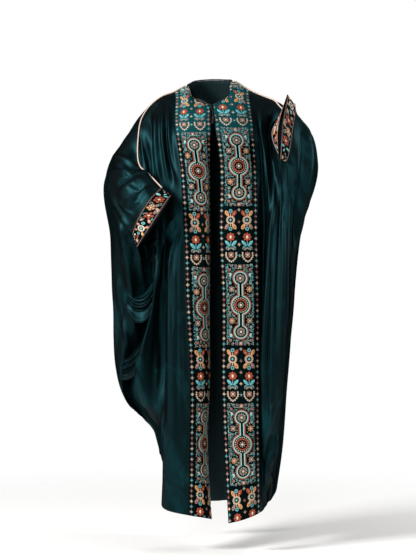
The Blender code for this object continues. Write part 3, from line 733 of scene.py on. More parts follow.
def sheet_of_cloth(name, points, wall, turn, velvet, backing, closed=False):
    """A sheet of cloth: a grid is added with a point for each of the cloth's, and those are moved into place.

    turn is -1 where the grid's faces come out pointing outwards, and 1 where they are turned round first.
    """
    columns, rows = points.shape[:2]
    bpy.ops.object.select_all(action="DESELECT")
    bpy.ops.mesh.primitive_grid_add(x_subdivisions=rows - 1, y_subdivisions=columns - 1, size=1)
    made = bpy.context.object
    made.name = made.data.name = name
    made.data.vertices.foreach_set("co", np.ascontiguousarray(points, np.float32).ravel())
    bpy.ops.object.mode_set(mode="EDIT")
    bpy.ops.mesh.select_all(action="SELECT")
    if closed:
        bpy.ops.mesh.remove_doubles(threshold=0.00002)
    if turn > 0:
        bpy.ops.mesh.flip_normals()
    bpy.ops.object.mode_set(mode="OBJECT")
    made.data.materials.append(velvet)
    made.data.materials.append(backing)
    solid = made.modifiers.new("thickness", "SOLIDIFY")
    solid.thickness = wall
    solid.offset = -1
    solid.material_offset = 1
    bpy.ops.object.modifier_apply(modifier=solid.name)
    bpy.ops.object.shade_smooth()
    return made


def evened(ways, times):
    """Directions along a line, each evened out with the two beside it."""
    for _ in range(times):
        ways = unit(ways + np.vstack([ways[:1], ways[:-1]]) + np.vstack([ways[1:], ways[-1:]]))
    return ways


def tube(name, path, radius, material, sides=12, strands=0, lay=1.0):
    """A round cord as a mesh. radius may change along it. strands ridges wind round it once in each lay."""
    ridge = 0.14 if strands else 0
    path = np.asarray(path, float)
    radius = np.broadcast_to(radius, len(path))
    along = unit(np.gradient(path, axis=0))
    run = np.concatenate([[0], np.cumsum(np.linalg.norm(np.diff(path, axis=0), axis=1))])
    side = unit(np.cross(along[0], (0.3, 1, 0.2)))
    rings = []
    angle = np.arange(sides) / sides * math.tau
    for place, way, size, gone in zip(path, along, radius, run):
        side = unit(side - way * (side @ way))
        up = np.cross(way, side)
        reach = size * (1 + ridge * np.cos(strands * (angle + gone / lay * math.tau)))
        rings.append(place + (np.cos(angle) * reach)[:, None] * side + (np.sin(angle) * reach)[:, None] * up)
    points = np.concatenate(rings)
    faces, uvs = [], []
    for i in range(len(path) - 1):
        for k in range(sides):
            corners = ((i, k), (i, k + 1), (i + 1, k + 1), (i + 1, k))
            faces.append(tuple(row * sides + place % sides for row, place in corners))
            uvs += [(run[row], place * 0.001) for row, place in corners]
    for ring in (list(range(sides))[::-1], list(range(len(points) - sides, len(points)))):
        faces.append(ring)
        uvs += [(0, 0)] * sides
    return mesh_object(name, points, faces, uvs, [material])


def mesh_object(name, points, faces, uvs, materials, slots=None):
    """A smooth mesh with a UV map. slots holds the number of each face's material."""
    data = bpy.data.meshes.new(name)
    data.from_pydata([tuple(p) for p in points], [], faces)
    for material in materials:
        data.materials.append(material)
    layer = data.uv_layers.new(name="UVMap")
    layer.data.foreach_set("uv", np.asarray(uvs, np.float32).ravel())
    if slots is not None:
        data.polygons.foreach_set("material_index", np.asarray(slots, np.int32))
    data.polygons.foreach_set("use_smooth", np.ones(len(faces), bool))
    data.update()
    made = bpy.data.objects.new(name, data)
    bpy.context.scene.collection.objects.link(made)
    return made


def joined(pieces, name):
    """One object made of several, with the first one's settings."""
    bpy.ops.object.select_all(action="DESELECT")
    for piece in pieces:
        piece.select_set(True)
    bpy.context.view_layer.objects.active = pieces[0]
    bpy.ops.object.join()
    made = bpy.context.object
    made.name = made.data.name = name
    return made


# Embroidery, laid out flat in millimetres

THREADS = dict(
    turquoise="#5fabb0", mint="#8fc4c0", rust="#9c3809", gold="#c48a50", peach="#bf8468", mauve="#85655c",
    brown="#66281a", cream="#d2c3ae", grey="#87837e", teal="#38787b", tan="#b0937a",
)
NAMES = tuple(THREADS)
BEADS = ("teal", "grey", "brown", "mauve", "tan")
BEAD_LINE = 56.5                # from a band's middle to each of its two borders
BEADS_A_REPEAT = 25
BAND_START = dict(right=-147, left=-165)        # the first whole repeat, from the chest line
BAND_REPEAT = dict(right=435, left=441.5)
FLOWERS_LENGTH = 174            # the part of a repeat that holds the flowers. The rest holds the rings.
FIELD_WIDTH = 95
FIELD_LENGTH = 262
RING_REACH = 85                 # from the middle ring to each end ring
DAISIES = (28.5, 50)            # across and down from the rings' middle, on both sides of it
BUDS = (33, 112, 70)            # across, then the two places down
VINE = (124, 0, 6, 13, 20, 27)  # down, then the places across that it fills
SCROLL_STEP = 5.6
SCROLL_THREADS = ("teal", "turquoise", "mint", "teal", "grey", "turquoise")
GARLAND = 205                   # one repeat of the cuffs' garland, about half way round
ROUND_LEAF = (0.55, 0.25)       # how it narrows to its stalk and to its tip
RISE = 0.9                      # height of the satin stitches over the velvet


def cushion(sides):
    """A low round cushion of satin stitch, 1 across and 1 high: a disc is inset, lifted and poked."""
    bpy.ops.object.select_all(action="DESELECT")
    bpy.ops.mesh.primitive_circle_add(vertices=sides, radius=0.5, fill_type="NGON")
    made = bpy.context.object
    bpy.ops.object.mode_set(mode="EDIT")
    bpy.ops.mesh.select_all(action="SELECT")
    bpy.ops.mesh.inset(thickness=0.13)
    bpy.ops.transform.translate(value=(0, 0, 0.8))
    bpy.ops.mesh.poke(offset=0.2)
    bpy.ops.object.mode_set(mode="OBJECT")
    points = np.array([tuple(v.co) for v in made.data.vertices])
    faces = [tuple(face.vertices) for face in made.data.polygons]
    bpy.data.objects.remove(made)
    return points, faces


class Needlework:
    """Stitched shapes on a flat strip, in millimetres: x across it from its middle, y along it."""

    def __init__(self):
        self.points, self.faces, self.uvs, self.slots = [], [], [], []
        self.count = 0
        self.shapes = {sides: cushion(sides) for sides in (6, 8, 10, 12)}

    def add(self, points, faces, thread, uv):
        """Adds a shape in one thread. uv is how far along and across its stitches a point is, in metres."""
        self.points.append(points)
        for face in faces:
            self.faces.append(tuple(self.count + i for i in face))
            self.uvs += [uv[i] for i in face]
            self.slots.append(NAMES.index(thread))
        self.count += len(points)

    def petal(self, x, y, long, wide, turn, thread, pinch=0.5, point=0.3, rise=RISE, sides=10, base=0.0):
        """A petal or leaf from its stalk at (x, y). turn is its direction: 0 is down the strip, 90 across it.

        pinch and point say how it narrows to its stalk and to its tip. base is the height that it lies on.
        """
        shape, faces = self.shapes[sides]
        share = np.clip(shape[:, 1] + 0.5, 0, 1)
        profile = share**pinch * (1 - share) ** point
        top = (pinch / (pinch + point)) if pinch + point else 0.5
        profile /= max(top**pinch * (1 - top) ** point, 0.05)
        across, along = shape[:, 0] * profile * wide, share * long
        turn = math.radians(turn)
        placed = np.stack([x + along * math.sin(turn) + across * math.cos(turn),
                           y + along * math.cos(turn) - across * math.sin(turn),
                           base + shape[:, 2] * rise], axis=1)
        self.add(placed, faces, thread, np.stack([along, across], axis=1) / 1000)

    def dot(self, x, y, size, thread, rise=1.0, sides=8):
        """A round knot of stitches."""
        self.petal(x, y - size / 2, size, size, 0, thread, 0, 0, rise, sides)

    def star(self, x, y, size, thread, waist=0.42, rise=1.0):
        """A bead of stitches with four points. waist is how wide it is between them, for its size."""
        shape, faces = self.shapes[8]
        angle = np.arctan2(shape[:, 1], shape[:, 0])
        reach = np.hypot(shape[:, 0], shape[:, 1]) * 2
        pull = waist + (1 - waist) * np.abs(np.cos(angle * 2)) ** 1.5
        flat = np.stack([np.cos(angle), np.sin(angle)], axis=1) * (reach * pull * size / 2)[:, None]
        placed = np.concatenate([flat + (x, y), shape[:, 2:] * rise], axis=1)
        self.add(placed, faces, thread, flat / 1000)

    def line(self, path, width, thread, closed=False, rise=RISE):
        """A raised line of stitches along a path."""
        path = np.asarray(path, float)
        if closed:
            way = np.roll(path, -1, axis=0) - np.roll(path, 1, axis=0)
        else:
            way = np.gradient(path, axis=0)
        way = unit(way)
        off = np.stack([-way[:, 1], way[:, 0]], axis=1) * np.broadcast_to(width, len(path))[:, None] / 2
        count = len(path)
        flat = np.concatenate([path - off, path, path + off])
        height = np.repeat((0.0, rise, 0.0), count)
        run = np.concatenate([[0], np.cumsum(np.linalg.norm(np.diff(path, axis=0), axis=1))])
        uv = np.stack([np.tile(run, 3), np.repeat((-0.5, 0, 0.5), count) * np.mean(width)], axis=1) / 1000
        faces = []
        for i in range(count if closed else count - 1):
            j = (i + 1) % count
            faces += [(k + i, k + j, k + j + count, k + i + count) for k in (0, count)]
        self.add(np.concatenate([flat, height[:, None]], axis=1), faces, thread, uv)

    def arc(self, x, y, radius, start, end, width, thread, rise=RISE, steps=0, swell=0.0):
        """Part of a ring, or a curl where swell changes its radius. 0 degrees is down the strip."""
        full = abs(end - start) >= 360 and not swell
        steps = steps or max(6, int(abs(end - start) / 360 * max(12, radius * 1.6)))
        turn = np.radians(np.linspace(start, end, steps, endpoint=not full))
        reach = radius * (1 + swell * np.linspace(0, 1, steps))
        path = np.stack([x + reach * np.sin(turn), y + reach * np.cos(turn)], axis=1)
        self.line(path, width, thread, closed=full, rise=rise)

    def rosette(self, x, y, radius, petals, threads, heart=None, inner=0.25, fat=1.0, sides=8, turn=0.0):
        """Petals round a heart, in the given threads by turns. inner is where they start, for the radius."""
        wide = fat * math.tau * radius * 0.62 / petals
        start = radius * inner
        for i in range(petals):
            angle = turn + 360 * i / petals
            way = math.radians(angle)
            self.petal(x + start * math.sin(way), y + start * math.cos(way), radius - start, wide, angle,
                       threads[i % len(threads)], 0.45, 0.15, RISE, sides)
        if heart:
            self.dot(x, y, radius * inner * 2.4, heart, RISE * 1.25)


def butterfly(work, x, y, side):
    """A ring with a star in it, small rings above and below, and four wings."""
    work.arc(x, y, 10.2, 0, 360, 4.2, "tan", steps=18)
    for i in range(14):
        a = math.tau * i / 14
        work.dot(x + 13.2 * math.sin(a), y + 12.4 * math.cos(a), 3.4, "cream", 0.8, 6)
    work.star(x, y, 11.5, "turquoise", rise=1.1)
    work.dot(x, y, 3.6, "mint", 1.6, 6)
    for up in (-1, 1):
        work.arc(x, y + up * 28, 4.6, 0, 360, 2.8, "turquoise", steps=12)
        work.dot(x, y + up * 28, 2.6, "brown", 0.8, 6)
        work.petal(x, y + up * 13, 8, 4, 0 if up > 0 else 180, "tan", 0.3, 0.3)
    for across, up, thread in ((-side, -1, "rust"), (side, -1, "gold"),
                               (-side, 1, "gold"), (side, 1, "mauve")):
        turn = across * (90 - up * 60)
        foot = (x + across * 5, y + up * 9)
        way = np.array((math.sin(math.radians(turn)), math.cos(math.radians(turn))))
        work.petal(*foot, 24, 13, turn, thread, 0.5, 0.12, sides=12)
        work.petal(*(foot + way * 8), 12, 5.5, turn, "brown", sides=8, base=0.45)
        work.petal(*(foot + way * 10), 6, 2.4, turn, "cream", sides=6, base=0.75)


def flower_and_pot(work, x, y):
    """A red flower over two leaves, two curls, and an open wreath with a rosette in it."""
    work.rosette(x, y + 17, 14.2, 8, ("rust",), None, 0.28, 1.1, sides=8)
    work.petal(x, y + 10.5, 13, 8, 0, "cream", 0.5, 0.5, 1.3)
    work.line([(x, y + 31), (x, y + 36), (x, y + 44)], 2, "turquoise")
    for across in (-1, 1):
        work.petal(x + across * 1.5, y + 47, 25, 10, across * 138, "turquoise", 0.6, sides=12)
        work.petal(x + across * 5.5, y + 42.5, 13, 3.4, across * 138, "teal", 0.4, 0.4, 0.7, 8, 0.5)
        work.petal(x + across * 3, y + 49, 12, 5, across * 100, "teal")
        work.arc(x + across * 11.5, y + 53, 4.8, 180, 180 - across * 430, 1.7, "grey", steps=13, swell=-0.55)
        work.arc(x + across * 6, y + 55, 3.4, 0, across * 300, 1.4, "cream", steps=9, swell=-0.4)
    work.dot(x, y + 52, 4.4, "mint", 1.0, 6)
    centre = y + 74
    # The wreath is a bowl, open at its top and drawn out to a point at its foot.
    bowl = [(x + 15.5 * math.sin(a), centre + 15.5 * math.cos(a) + 4 * max(0, math.cos(a)) ** 6)
            for a in np.radians(np.linspace(-112, 112, 21))]
    work.line(bowl, 2.2, "tan", rise=1.0)
    for px, py in bowl[::2]:
        work.dot(x + (px - x) * 1.14, centre + (py - centre) * 1.14, 4.6, "cream", 1.0, 6)
    work.rosette(x, centre, 10.5, 8, ("mauve", "peach"), "cream", 0.24, 0.9, sides=6)


def flower_block(work, y):
    """Two columns of a butterfly, a flower and a pot, with a column of diamonds between them."""
    for side in (-1, 1):
        butterfly(work, 26.5 * side, y + 35, side)
        flower_and_pot(work, 26.5 * side, y + 72)
    for down, thread in ((3, "grey"), (40, "brown"), (77, "mauve"), (113, "tan"), (148, "teal")):
        work.star(0, y + down, 13, thread, waist=0.4)
        # The small cream dot just below each diamond's middle is a painted highlight.
        work.dot(1, y + down + 2.5, 2.6, "cream", 1.5, 6)


def joined_rings(centre, shift):
    """The outline of three joined rings, moved in by shift."""
    end, middle, neck = 25.5 - shift, 34.5 - shift, 11 - shift
    end_turn, middle_turn = math.asin(neck / end), math.asin(neck / middle)
    half = []
    for radius, down, start, stop, steps in (
            (end, -RING_REACH, math.pi, end_turn, 13),
            (middle, 0, math.pi - middle_turn, middle_turn, 17),
            (end, RING_REACH, math.pi - end_turn, 0, 13)):
        half += [(radius * math.sin(a), down + radius * math.cos(a)) for a in np.linspace(start, stop, steps)]
    path = []
    for side in (1, -1):
        path += [(side * px, centre + py) for px, py in half[::side]][1:]
    return path


def ring_block(work, y, chance):
    """Three joined rings on a field of fine scrolls, with daisies at the necks."""
    centre = y + FIELD_LENGTH / 2
    for shift, width, thread in ((1.2, 2.2, "rust"), (3.2, 1.2, "tan"), (5.9, 2.8, "mint")):
        work.line(joined_rings(centre, shift), width, thread, closed=True, rise=1.0)
    for end in (-RING_REACH, RING_REACH):
        work.rosette(0, centre + end, 14.5, 12, ("tan", "grey"), None, 0.4, 0.8, sides=6)
        work.dot(0, centre + end, 8, "cream", 1.3)
        work.dot(0, centre + end, 3, "brown", 1.7, 6)
    for i in range(20):
        a = math.tau * i / 20
        work.dot(22.4 * math.sin(a), centre + 22.4 * math.cos(a), 3.8, "cream", 1.1, 6)
    work.arc(0, centre, 16.6, 0, 360, 3.3, "rust", steps=28)
    work.rosette(0, centre, 10.2, 8, ("tan", "grey"), None, 0.45, 0.7, sides=6)
    work.dot(0, centre, 7.5, "cream", 1.4)
    for across in (-1, 1):
        for down in (-DAISIES[1], DAISIES[1]):
            threads = ("gold", "peach") if across * down < 0 else ("mauve", "tan")
            work.rosette(DAISIES[0] * across, centre + down, 10.8, 8, threads, "cream", 0.2, 0.72)
        for end in (-1, 1):
            for down, thread in zip(BUDS[1:], ("peach", "mint")):
                x, y = BUDS[0] * across, centre + down * end
                work.rosette(x, y, 5, 5, (thread,), "brown", 0.3, 0.95, sides=6)
        for down in (-96, 96):
            work.petal(27 * across, centre + down, 10, 5, across * 60, "mint")
            work.petal(27 * across, centre + down, 10, 5, across * 120, "cream")
        for down in (-24, 24):
            work.petal(38 * across, centre + down, 9, 4, 0 if down > 0 else 180, "mauve")
        for down in (-VINE[0], VINE[0]):
            y = centre + down
            work.arc(13 * across, y, 4.6, 90 * across, 490 * across, 1.6, "grey", steps=13, swell=-0.55)
            work.petal(20 * across, y - 3, 8, 4, 90 * across, "grey")
            work.arc(27 * across, y, 4, 0, -380 * across, 1.5, "grey", steps=12, swell=-0.5)
    for down in (-122, 122):
        work.rosette(0, centre + down, 7.5, 8, ("mauve", "peach"), "cream", 0.3, 0.9, sides=6)
    scrolls(work, centre, chance)


def scrolls(work, centre, chance):
    """Curls, pairs of leaves and knots in a loose grid, wherever nothing larger stands."""
    taken = [(0, -RING_REACH, 28.5), (0, RING_REACH, 28.5), (0, 0, 38)]
    taken += [(0, down, 14) for down in range(-62, 63, 6)]
    for a in (-1, 1):
        taken += [(DAISIES[0] * a, down, 13.5) for down in (-DAISIES[1], DAISIES[1])]
        taken += [(BUDS[0] * a, end * down, 7.5) for end in (-1, 1) for down in BUDS[1:]]
        taken += [(a * x, end * VINE[0], 6) for end in (-1, 1) for x in VINE[1:]]
    for row in range(int(FIELD_LENGTH / SCROLL_STEP)):
        for column in range(int(FIELD_WIDTH / SCROLL_STEP)):
            x = -FIELD_WIDTH / 2 + (column + 0.5 + 0.25 * (row % 2)) * SCROLL_STEP + chance.uniform(-0.5, 0.5)
            down = -FIELD_LENGTH / 2 + (row + 0.5) * SCROLL_STEP + chance.uniform(-0.5, 0.5)
            if any(math.hypot(x - a, down - b) < reach for a, b, reach in taken):
                continue
            kind = chance.uniform()
            turn = chance.uniform(0, 360)
            thread = SCROLL_THREADS[int(chance.uniform() * len(SCROLL_THREADS))]
            y = centre + down
            if kind < 0.62:
                way = 1 if chance.uniform() < 0.5 else -1
                work.arc(x, y, 2.4, turn, turn + way * 390, 1.0, thread, 0.7, 9, -0.6)
                tail = math.radians(turn)
                foot = (x + 2.3 * math.sin(tail), y + 2.3 * math.cos(tail))
                work.petal(*foot, 2.8, 1.6, turn - way * 60, thread, rise=0.7, sides=6)
            elif kind < 0.84:
                work.petal(x, y, 4.2, 2.2, turn, "mint" if kind < 0.72 else "cream", rise=0.8, sides=6)
                work.petal(x, y, 3.6, 1.9, turn + 120, thread, rise=0.8, sides=6)
            else:
                work.dot(x, y, 2.4, ("mint", "peach", "cream")[int(kind * 100) % 3], 0.9, 6)


def band_design(hand):
    """The whole pattern of one band, laid out down its strip from the shoulder to the hem."""
    work = Needlework()
    chance = np.random.default_rng(5 if hand == "right" else 6)
    start, repeat = BAND_START[hand], BAND_REPEAT[hand]
    for i in range(-1, 4):
        flower_block(work, start + i * repeat)
        ring_block(work, start + FLOWERS_LENGTH + i * repeat, chance)
    step = repeat / BEADS_A_REPEAT
    for i in range(-5, 86):
        y = start + 76 + (i - 5) * step
        for side in (-1, 1):
            x = BEAD_LINE * side
            work.star(x, y, 12.6, BEADS[i % 5], waist=0.56)
            # The cream or tan dot just off each bead's middle is a painted glint.
            work.dot(x + 1, y + 1.5, 3, "cream" if i % 2 else "tan", 1.5, 6)
            work.dot(x, y + step / 2, 2.4, "brown", 0.7, 6)
    return work


def cuff_design(around, way, start):
    """A garland round a cuff between its edge lines, from start on. way is 1 or -1, its direction."""
    work = Needlework()
    for side in (-1, 1):
        for x, width, thread, rise in ((18.5, 1.3, "grey", 1.2), (21, 1.0, "brown", 0.7)):
            work.line([(x * side, y) for y in np.arange(0, around, 4.0)], width, thread, rise=rise)
    repeats = max(1, round(around / GARLAND))
    step = around / repeats
    first = len(work.points)
    for i in range(-1, repeats + 1):
        garland(work, start + i * step, step / GARLAND)
    if way < 0:
        for points in work.points[first:]:
            points[:, 1] = around - points[:, 1]
    return work


def garland(work, y, scale):
    """One repeat of the cuffs' flowers and leaves."""

    def at(down):
        return y + down * scale

    work.petal(-3, at(10), 16, 8, -100, "mint")
    work.petal(3, at(10), 16, 8, 100, "turquoise")
    work.petal(2, at(4), 11, 6, 150, "mint")
    work.rosette(1, at(27), 13.5, 6, ("rust",), None, 0.3, 1.1, sides=10)
    work.dot(1, at(27), 7.5, "cream", 1.3)
    for across in (-1, 1):
        work.arc(across * 10, at(45), 5.2, 180, 180 - across * 430, 1.8, "grey", steps=13, swell=-0.55)
        work.arc(across * 5, at(50), 3.8, 0, across * 330, 1.5, "cream", steps=9, swell=-0.4)
    work.rosette(-5, at(60), 10.5, 5, ("gold", "peach"), None, 0.25, 1.05, sides=8)
    work.dot(-5, at(60), 5.5, "cream", 1.3)
    work.petal(6, at(58), 17, 9, 50, "tan", *ROUND_LEAF)
    work.petal(8, at(68), 14, 7, 20, "mauve", *ROUND_LEAF)
    work.arc(13, at(72), 3.6, 0, 380, 1.4, "cream", steps=12, swell=-0.5)
    work.rosette(1, at(88), 13, 5, ("rust",), "cream", 0.22, 0.85, sides=10, turn=20)
    work.petal(-10, at(80), 10, 5, -30, "teal")
    work.petal(12, at(92), 11, 5, 20, "teal")
    for across, thread in ((-1, "mauve"), (1, "peach")):
        work.petal(across * 5, at(100), 16, 9, across * 35, thread, *ROUND_LEAF)
        work.petal(across * 8, at(104), 8, 3.6, across * 35, "cream", rise=0.7, sides=6, base=0.5)
        work.arc(across * 14, at(100), 2.8, 90, 90 + across * 360, 1.3, "grey", steps=10, swell=-0.5)
    work.arc(-2, at(119), 4.2, 0, 360, 2.8, "turquoise", steps=12)
    work.dot(-2, at(119), 3, "cream", 1.4, 6)
    work.arc(0, at(139), 9.2, 0, 360, 4.2, "cream", steps=18)
    work.dot(0, at(139), 9.5, "turquoise", 1.0)
    work.dot(0, at(139), 4.4, "cream", 1.6, 6)
    for across in (-1, 1):
        work.petal(across * 8, at(132), 13, 9, across * 125, "peach", *ROUND_LEAF)
        work.petal(across * 6, at(148), 15, 9, across * 50, "gold" if across > 0 else "rust", *ROUND_LEAF)
        work.petal(across * 9, at(151), 8, 3.4, across * 50, "cream", rise=0.7, sides=6, base=0.5)
    work.arc(0, at(160), 3.8, 0, 360, 2.4, "turquoise", steps=12)
    work.petal(1, at(165), 14, 8, 10, "rust", *ROUND_LEAF)
    work.petal(-6, at(172), 12, 6, -40, "cream")
    work.rosette(8, at(184), 7, 5, ("peach",), "cream", 0.3, 0.95, sides=6)
    work.arc(-9, at(188), 4.6, 0, 400, 1.7, "grey", steps=12, swell=-0.5)
    work.arc(-2, at(196), 3.2, 180, 540, 1.4, "tan", steps=10, swell=-0.4)


def strip_of_band(hand):
    """Where each point of a band lies on its flat strip, in metres: across from its middle, and down."""
    grid, out = (part[:TO_BAND + 1] for part in cloth[hand][:2])
    chest = ROWS[0]
    flat = np.zeros((*grid.shape[:2], 2))
    across = np.cumsum(np.linalg.norm(np.diff(grid, axis=0), axis=2), axis=0)
    flat[1:, chest:, 0] = (across / across[-1:])[:, chest:] * BAND_WIDTH
    flat[:, chest:, 0] -= BAND_WIDTH / 2
    steps = np.linalg.norm(np.diff(grid[:, chest:], axis=1), axis=2).mean(axis=0)
    flat[:, chest + 1:, 1] = np.cumsum(steps)
    # Above the chest, where down is below 0, the strip runs straight up along its outer edge, and the neck is
    # cut out of it. The velvet is eased in there, the more the nearer to the arm.
    outwards = -1 if hand == "right" else 1
    ease = np.linspace(*EASE, len(grid))
    for row in range(chest - 1, -1, -1):
        step = grid[:, row] - grid[:, row + 1]
        flat[:, row, 0] = flat[:, row + 1, 0] + step[:, 0] * outwards
        flat[:, row, 1] = flat[:, row + 1, 1] - np.hypot(step[:, 1], step[:, 2]) * np.sign(step[:, 2]) * ease
        flat[:, row, 0] += BAND_WIDTH / 2 - flat[-1, row, 0]
    return flat, grid, out


def strip_of_cuff(hand, mouth):
    """Where each point of a cuff lies on its flat strip, in metres: along the sleeve, and round it."""
    ring, out = cuff_ring(hand, mouth)
    ring = np.concatenate([ring, ring[:1]])
    out = np.concatenate([out, out[:1]])
    around = np.linalg.norm(np.diff(ring, axis=0), axis=2).mean(axis=1)
    flat = np.zeros((*ring.shape[:2], 2))
    flat[..., 0] = np.linspace(-CUFF_WIDTH / 2, CUFF_WIDTH / 2, ring.shape[1])[None]
    flat[..., 1] = np.concatenate([[0], np.cumsum(around)])[:, None]
    return flat, ring, out


def corners_of(flat):
    """A strip's triangles, as numbers of its points."""
    index = np.arange(flat[..., 0].size).reshape(flat.shape[:2])
    a, b, c, d = (part.ravel() for part in (index[:-1, :-1], index[1:, :-1], index[1:, 1:], index[:-1, 1:]))
    return np.concatenate([np.stack([a, b, c], axis=1), np.stack([a, c, d], axis=1)])


def turned(a, b, c):
    """Twice the area of each flat triangle, below 0 where it runs clockwise."""
    return (b[:, 0] - a[:, 0]) * (c[:, 1] - a[:, 1]) - (c[:, 0] - a[:, 0]) * (b[:, 1] - a[:, 1])


def sewn_on(name, work, strip, materials):
    """Lays a flat design on the cloth. What falls outside the strip is cut off."""
    flat, grid, out = strip
    corners = corners_of(flat)
    spots = flat.reshape(-1, 2)
    tree = BVHTree.FromPolygons([(x, y, 0) for x, y in spots], [tuple(map(int, face)) for face in corners])
    wanted = np.concatenate(work.points) / 1000
    hits = [tree.ray_cast((x, y, 1), (0, 0, -1), 2)[2] for x, y, _ in wanted]
    corner = corners[[hit or 0 for hit in hits]]
    p, q, r = (spots[corner[:, k]] for k in range(3))
    area = turned(p, q, r)
    second = turned(p, wanted, r) / area
    third = turned(p, q, wanted) / area
    shares = np.stack([1 - second - third, second, third], axis=1)[..., None]
    placed = (grid.reshape(-1, 3)[corner] * shares).sum(axis=1)
    away = unit((out.reshape(-1, 3)[corner] * shares).sum(axis=1))
    placed = placed + away * wanted[:, 2:]
    faces, uvs, slots = [], [], []
    start = 0
    for face, slot in zip(work.faces, work.slots):
        if all(hits[i] is not None for i in face):
            corner = [placed[i] for i in face[:3]]
            own = work.uvs[start:start + len(face)]
            if np.cross(corner[1] - corner[0], corner[2] - corner[0]) @ away[face[0]] < 0:
                face, own = face[::-1], own[::-1]
            faces.append(face)
            uvs += own
            slots.append(slot)
        start += len(face)
    if not faces:
        raise ValueError(f"{name}: the whole design falls outside its strip")
    used = np.unique(np.concatenate(faces))
    new = {int(old): count for count, old in enumerate(used)}
    faces = [tuple(new[i] for i in face) for face in faces]
    return mesh_object(name, placed[used], faces, uvs, materials, slots)


# Places of the trim, then the user's sizes and colours

PAINTED_LIGHT_HEIGHTS = (-0.185, -0.155)   # heights between which the bands' ground turns from black to teal: painted light on the bands above the chest
STITCHED = 0.0002               # the piping stands this far out of its seam
EDGED = 0.0007                  # the binding stands this far off the neck's edge
MID_WALL = 0.0008               # from the velvet's face to the middle of its thickness
CLEAR = 0.0006                  # the tie hangs this far in front of the cloth
KNOB = (-0.034, -0.053)         # (x, z) of the soft knob where the binding's end is folded over
KNOB_REACH = 0.016
GOLDEN_ANGLE = 2.39996          # radians from each thread of the tassel to the next, which fills its round


def length(name, description, default, low, high):
    """A size in metres that the user may change."""
    return bpy.props.FloatProperty(name=name, description=description, default=default, min=low, max=high,
                                   unit="LENGTH", precision=4)


def colour(name, description, default):
    """A colour that the user may change."""
    return bpy.props.FloatVectorProperty(name=name, description=description, default=linear(default),
                                         subtype="COLOR", min=0, max=1)


class BishtSizes(bpy.types.PropertyGroup):
    """Thicknesses, and the measures of the tie"""
    velvet_wall: length("Velvet", "Thickness of the velvet with its pile", 0.0016, 0.0005, 0.004)
    band_wall: length("Bands", "Thickness of a band or cuff on its backing", 0.0022, 0.001, 0.005)
    piping: length("Piping", "Radius of the corded piping", 0.0022, 0.001, 0.005)
    binding: length("Neck binding", "Radius of the rolled binding", 0.0022, 0.001, 0.005)
    tie: length("Tie cord", "Radius of the tie cord", 0.0013, 0.0006, 0.003)
    tie_length: length("Tie", "Length of the tie cord", 0.040, 0.030, 0.1)
    tassel_length: length("Tassel", "Length of the tassel", 0.024, 0.01, 0.05)
    tassel_radius: length("Tassel radius", "Radius of the tassel at its foot", 0.0055, 0.003, 0.01)
    threads: bpy.props.IntProperty(name="Tassel threads", description="Number of threads in the tassel",
                                   default=84, min=20, max=240)


class BishtColours(bpy.types.PropertyGroup):
    """Colours of the cloth and the cords"""
    velvet_dark: colour("Velvet, dark", "Velvet where its nap lies towards the eye", "#040607")
    velvet_light: colour("Velvet, light", "Velvet where its nap is brushed up", "#0a2a2e")
    ground_dark: colour("Ground, dark", "Ground of the bands and cuffs", "#020605")
    # The light ground colour is painted light, for light falling on the bands above the chest, and it also
    # tints the nap patches a little.
    ground_light: colour("Ground, light", "Ground of the bands above the chest, brushed up", "#0b3a3e")
    backing: colour("Backing", "Back of the velvet", "#0c2326")
    piping: colour("Piping", "Satin over the corded piping", "#cbb5a6")
    black: colour("Black silk", "Binding, tie cord and tassel", "#0b0c0f")


def sizes():
    """The sizes as the user has them."""
    return bpy.context.scene.bisht_sizes


def finish(name):
    """The material of that name, made the first time that it is asked for."""
    if name in bpy.data.materials:
        return bpy.data.materials[name]
    chosen = bpy.context.scene.bisht_colours
    tones = {key: tuple(getattr(chosen, key)) for key in BishtColours.__annotations__}
    if name == "silk velvet":
        return velvet_material(name, tones["velvet_dark"], tones["velvet_light"], 0.29, 0.05)
    if name == "silk velvet ground":
        return velvet_material(name, tones["ground_dark"], tones["ground_light"], 0.06, 0.04, PAINTED_LIGHT_HEIGHTS)
    if name == "black silk velvet":
        return velvet_material(name, tones["ground_dark"], tones["velvet_dark"], 0.06, 0.04)
    if name == "cotton backing":
        return backing_material(name, tones["backing"])
    if name == "satin piping":
        return thread_material(name, tones["piping"], 0.0016, 0.45, 0.15)
    if name == "black silk cord":
        return thread_material(name, tones["black"], 0.0010, 0.5)
    return thread_material(name, linear(THREADS[name.removeprefix("rayon thread, ")]))


def rides(made, slot, *nodes):
    """The piece moves with the garment and stands for those solids, which are hidden. slot is not used."""
    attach(made, "root")
    if nodes:
        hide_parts(*nodes)


def panel(part, points, wall, turn, ground, slot, flat, area=None, closed=False):
    cloths = finish(ground), finish("cotton backing")
    made = sheet_of_cloth(f"{part}_velvet", points, wall, turn, *cloths, closed)
    rides(made, slot, part)
    return made, dict(flat=flat, held="hung", area=area)


def trimmed(part, points, turn, ground, flat, design, strip, closed=False):
    """A band or cuff in the place of its solid, with its embroidery sewn on."""
    wall = sizes().band_wall
    made, cut = panel(part, points, wall, turn, ground, "embroidered_velvet", flat, closed=closed)
    threads = [finish("rayon thread, " + name) for name in NAMES]
    stitches = sewn_on(f"{part}_embroidery", design, strip, threads)
    rides(stitches, "embroidered_velvet")


# One operator for each piece or group

class BISHT_OT_back(bpy.types.Operator):
    """Cuts the back with the backs of both sleeves, and hangs it in its folds"""
    bl_idname = "bisht.back"
    bl_label = "Back"

    def execute(self, context):
        wall = sizes().velvet_wall
        made, cut = panel("back", worn["back"], wall, 1, "silk velvet", "velvet", (1.62, 1.44), 1.30)
        hung = [sheet_of_cloth("swag", swag(*row), wall, -1, finish("silk velvet"), finish("cotton backing"))
                for row in SWAGS]
        joined([made, *hung], made.name)
        return {"FINISHED"}


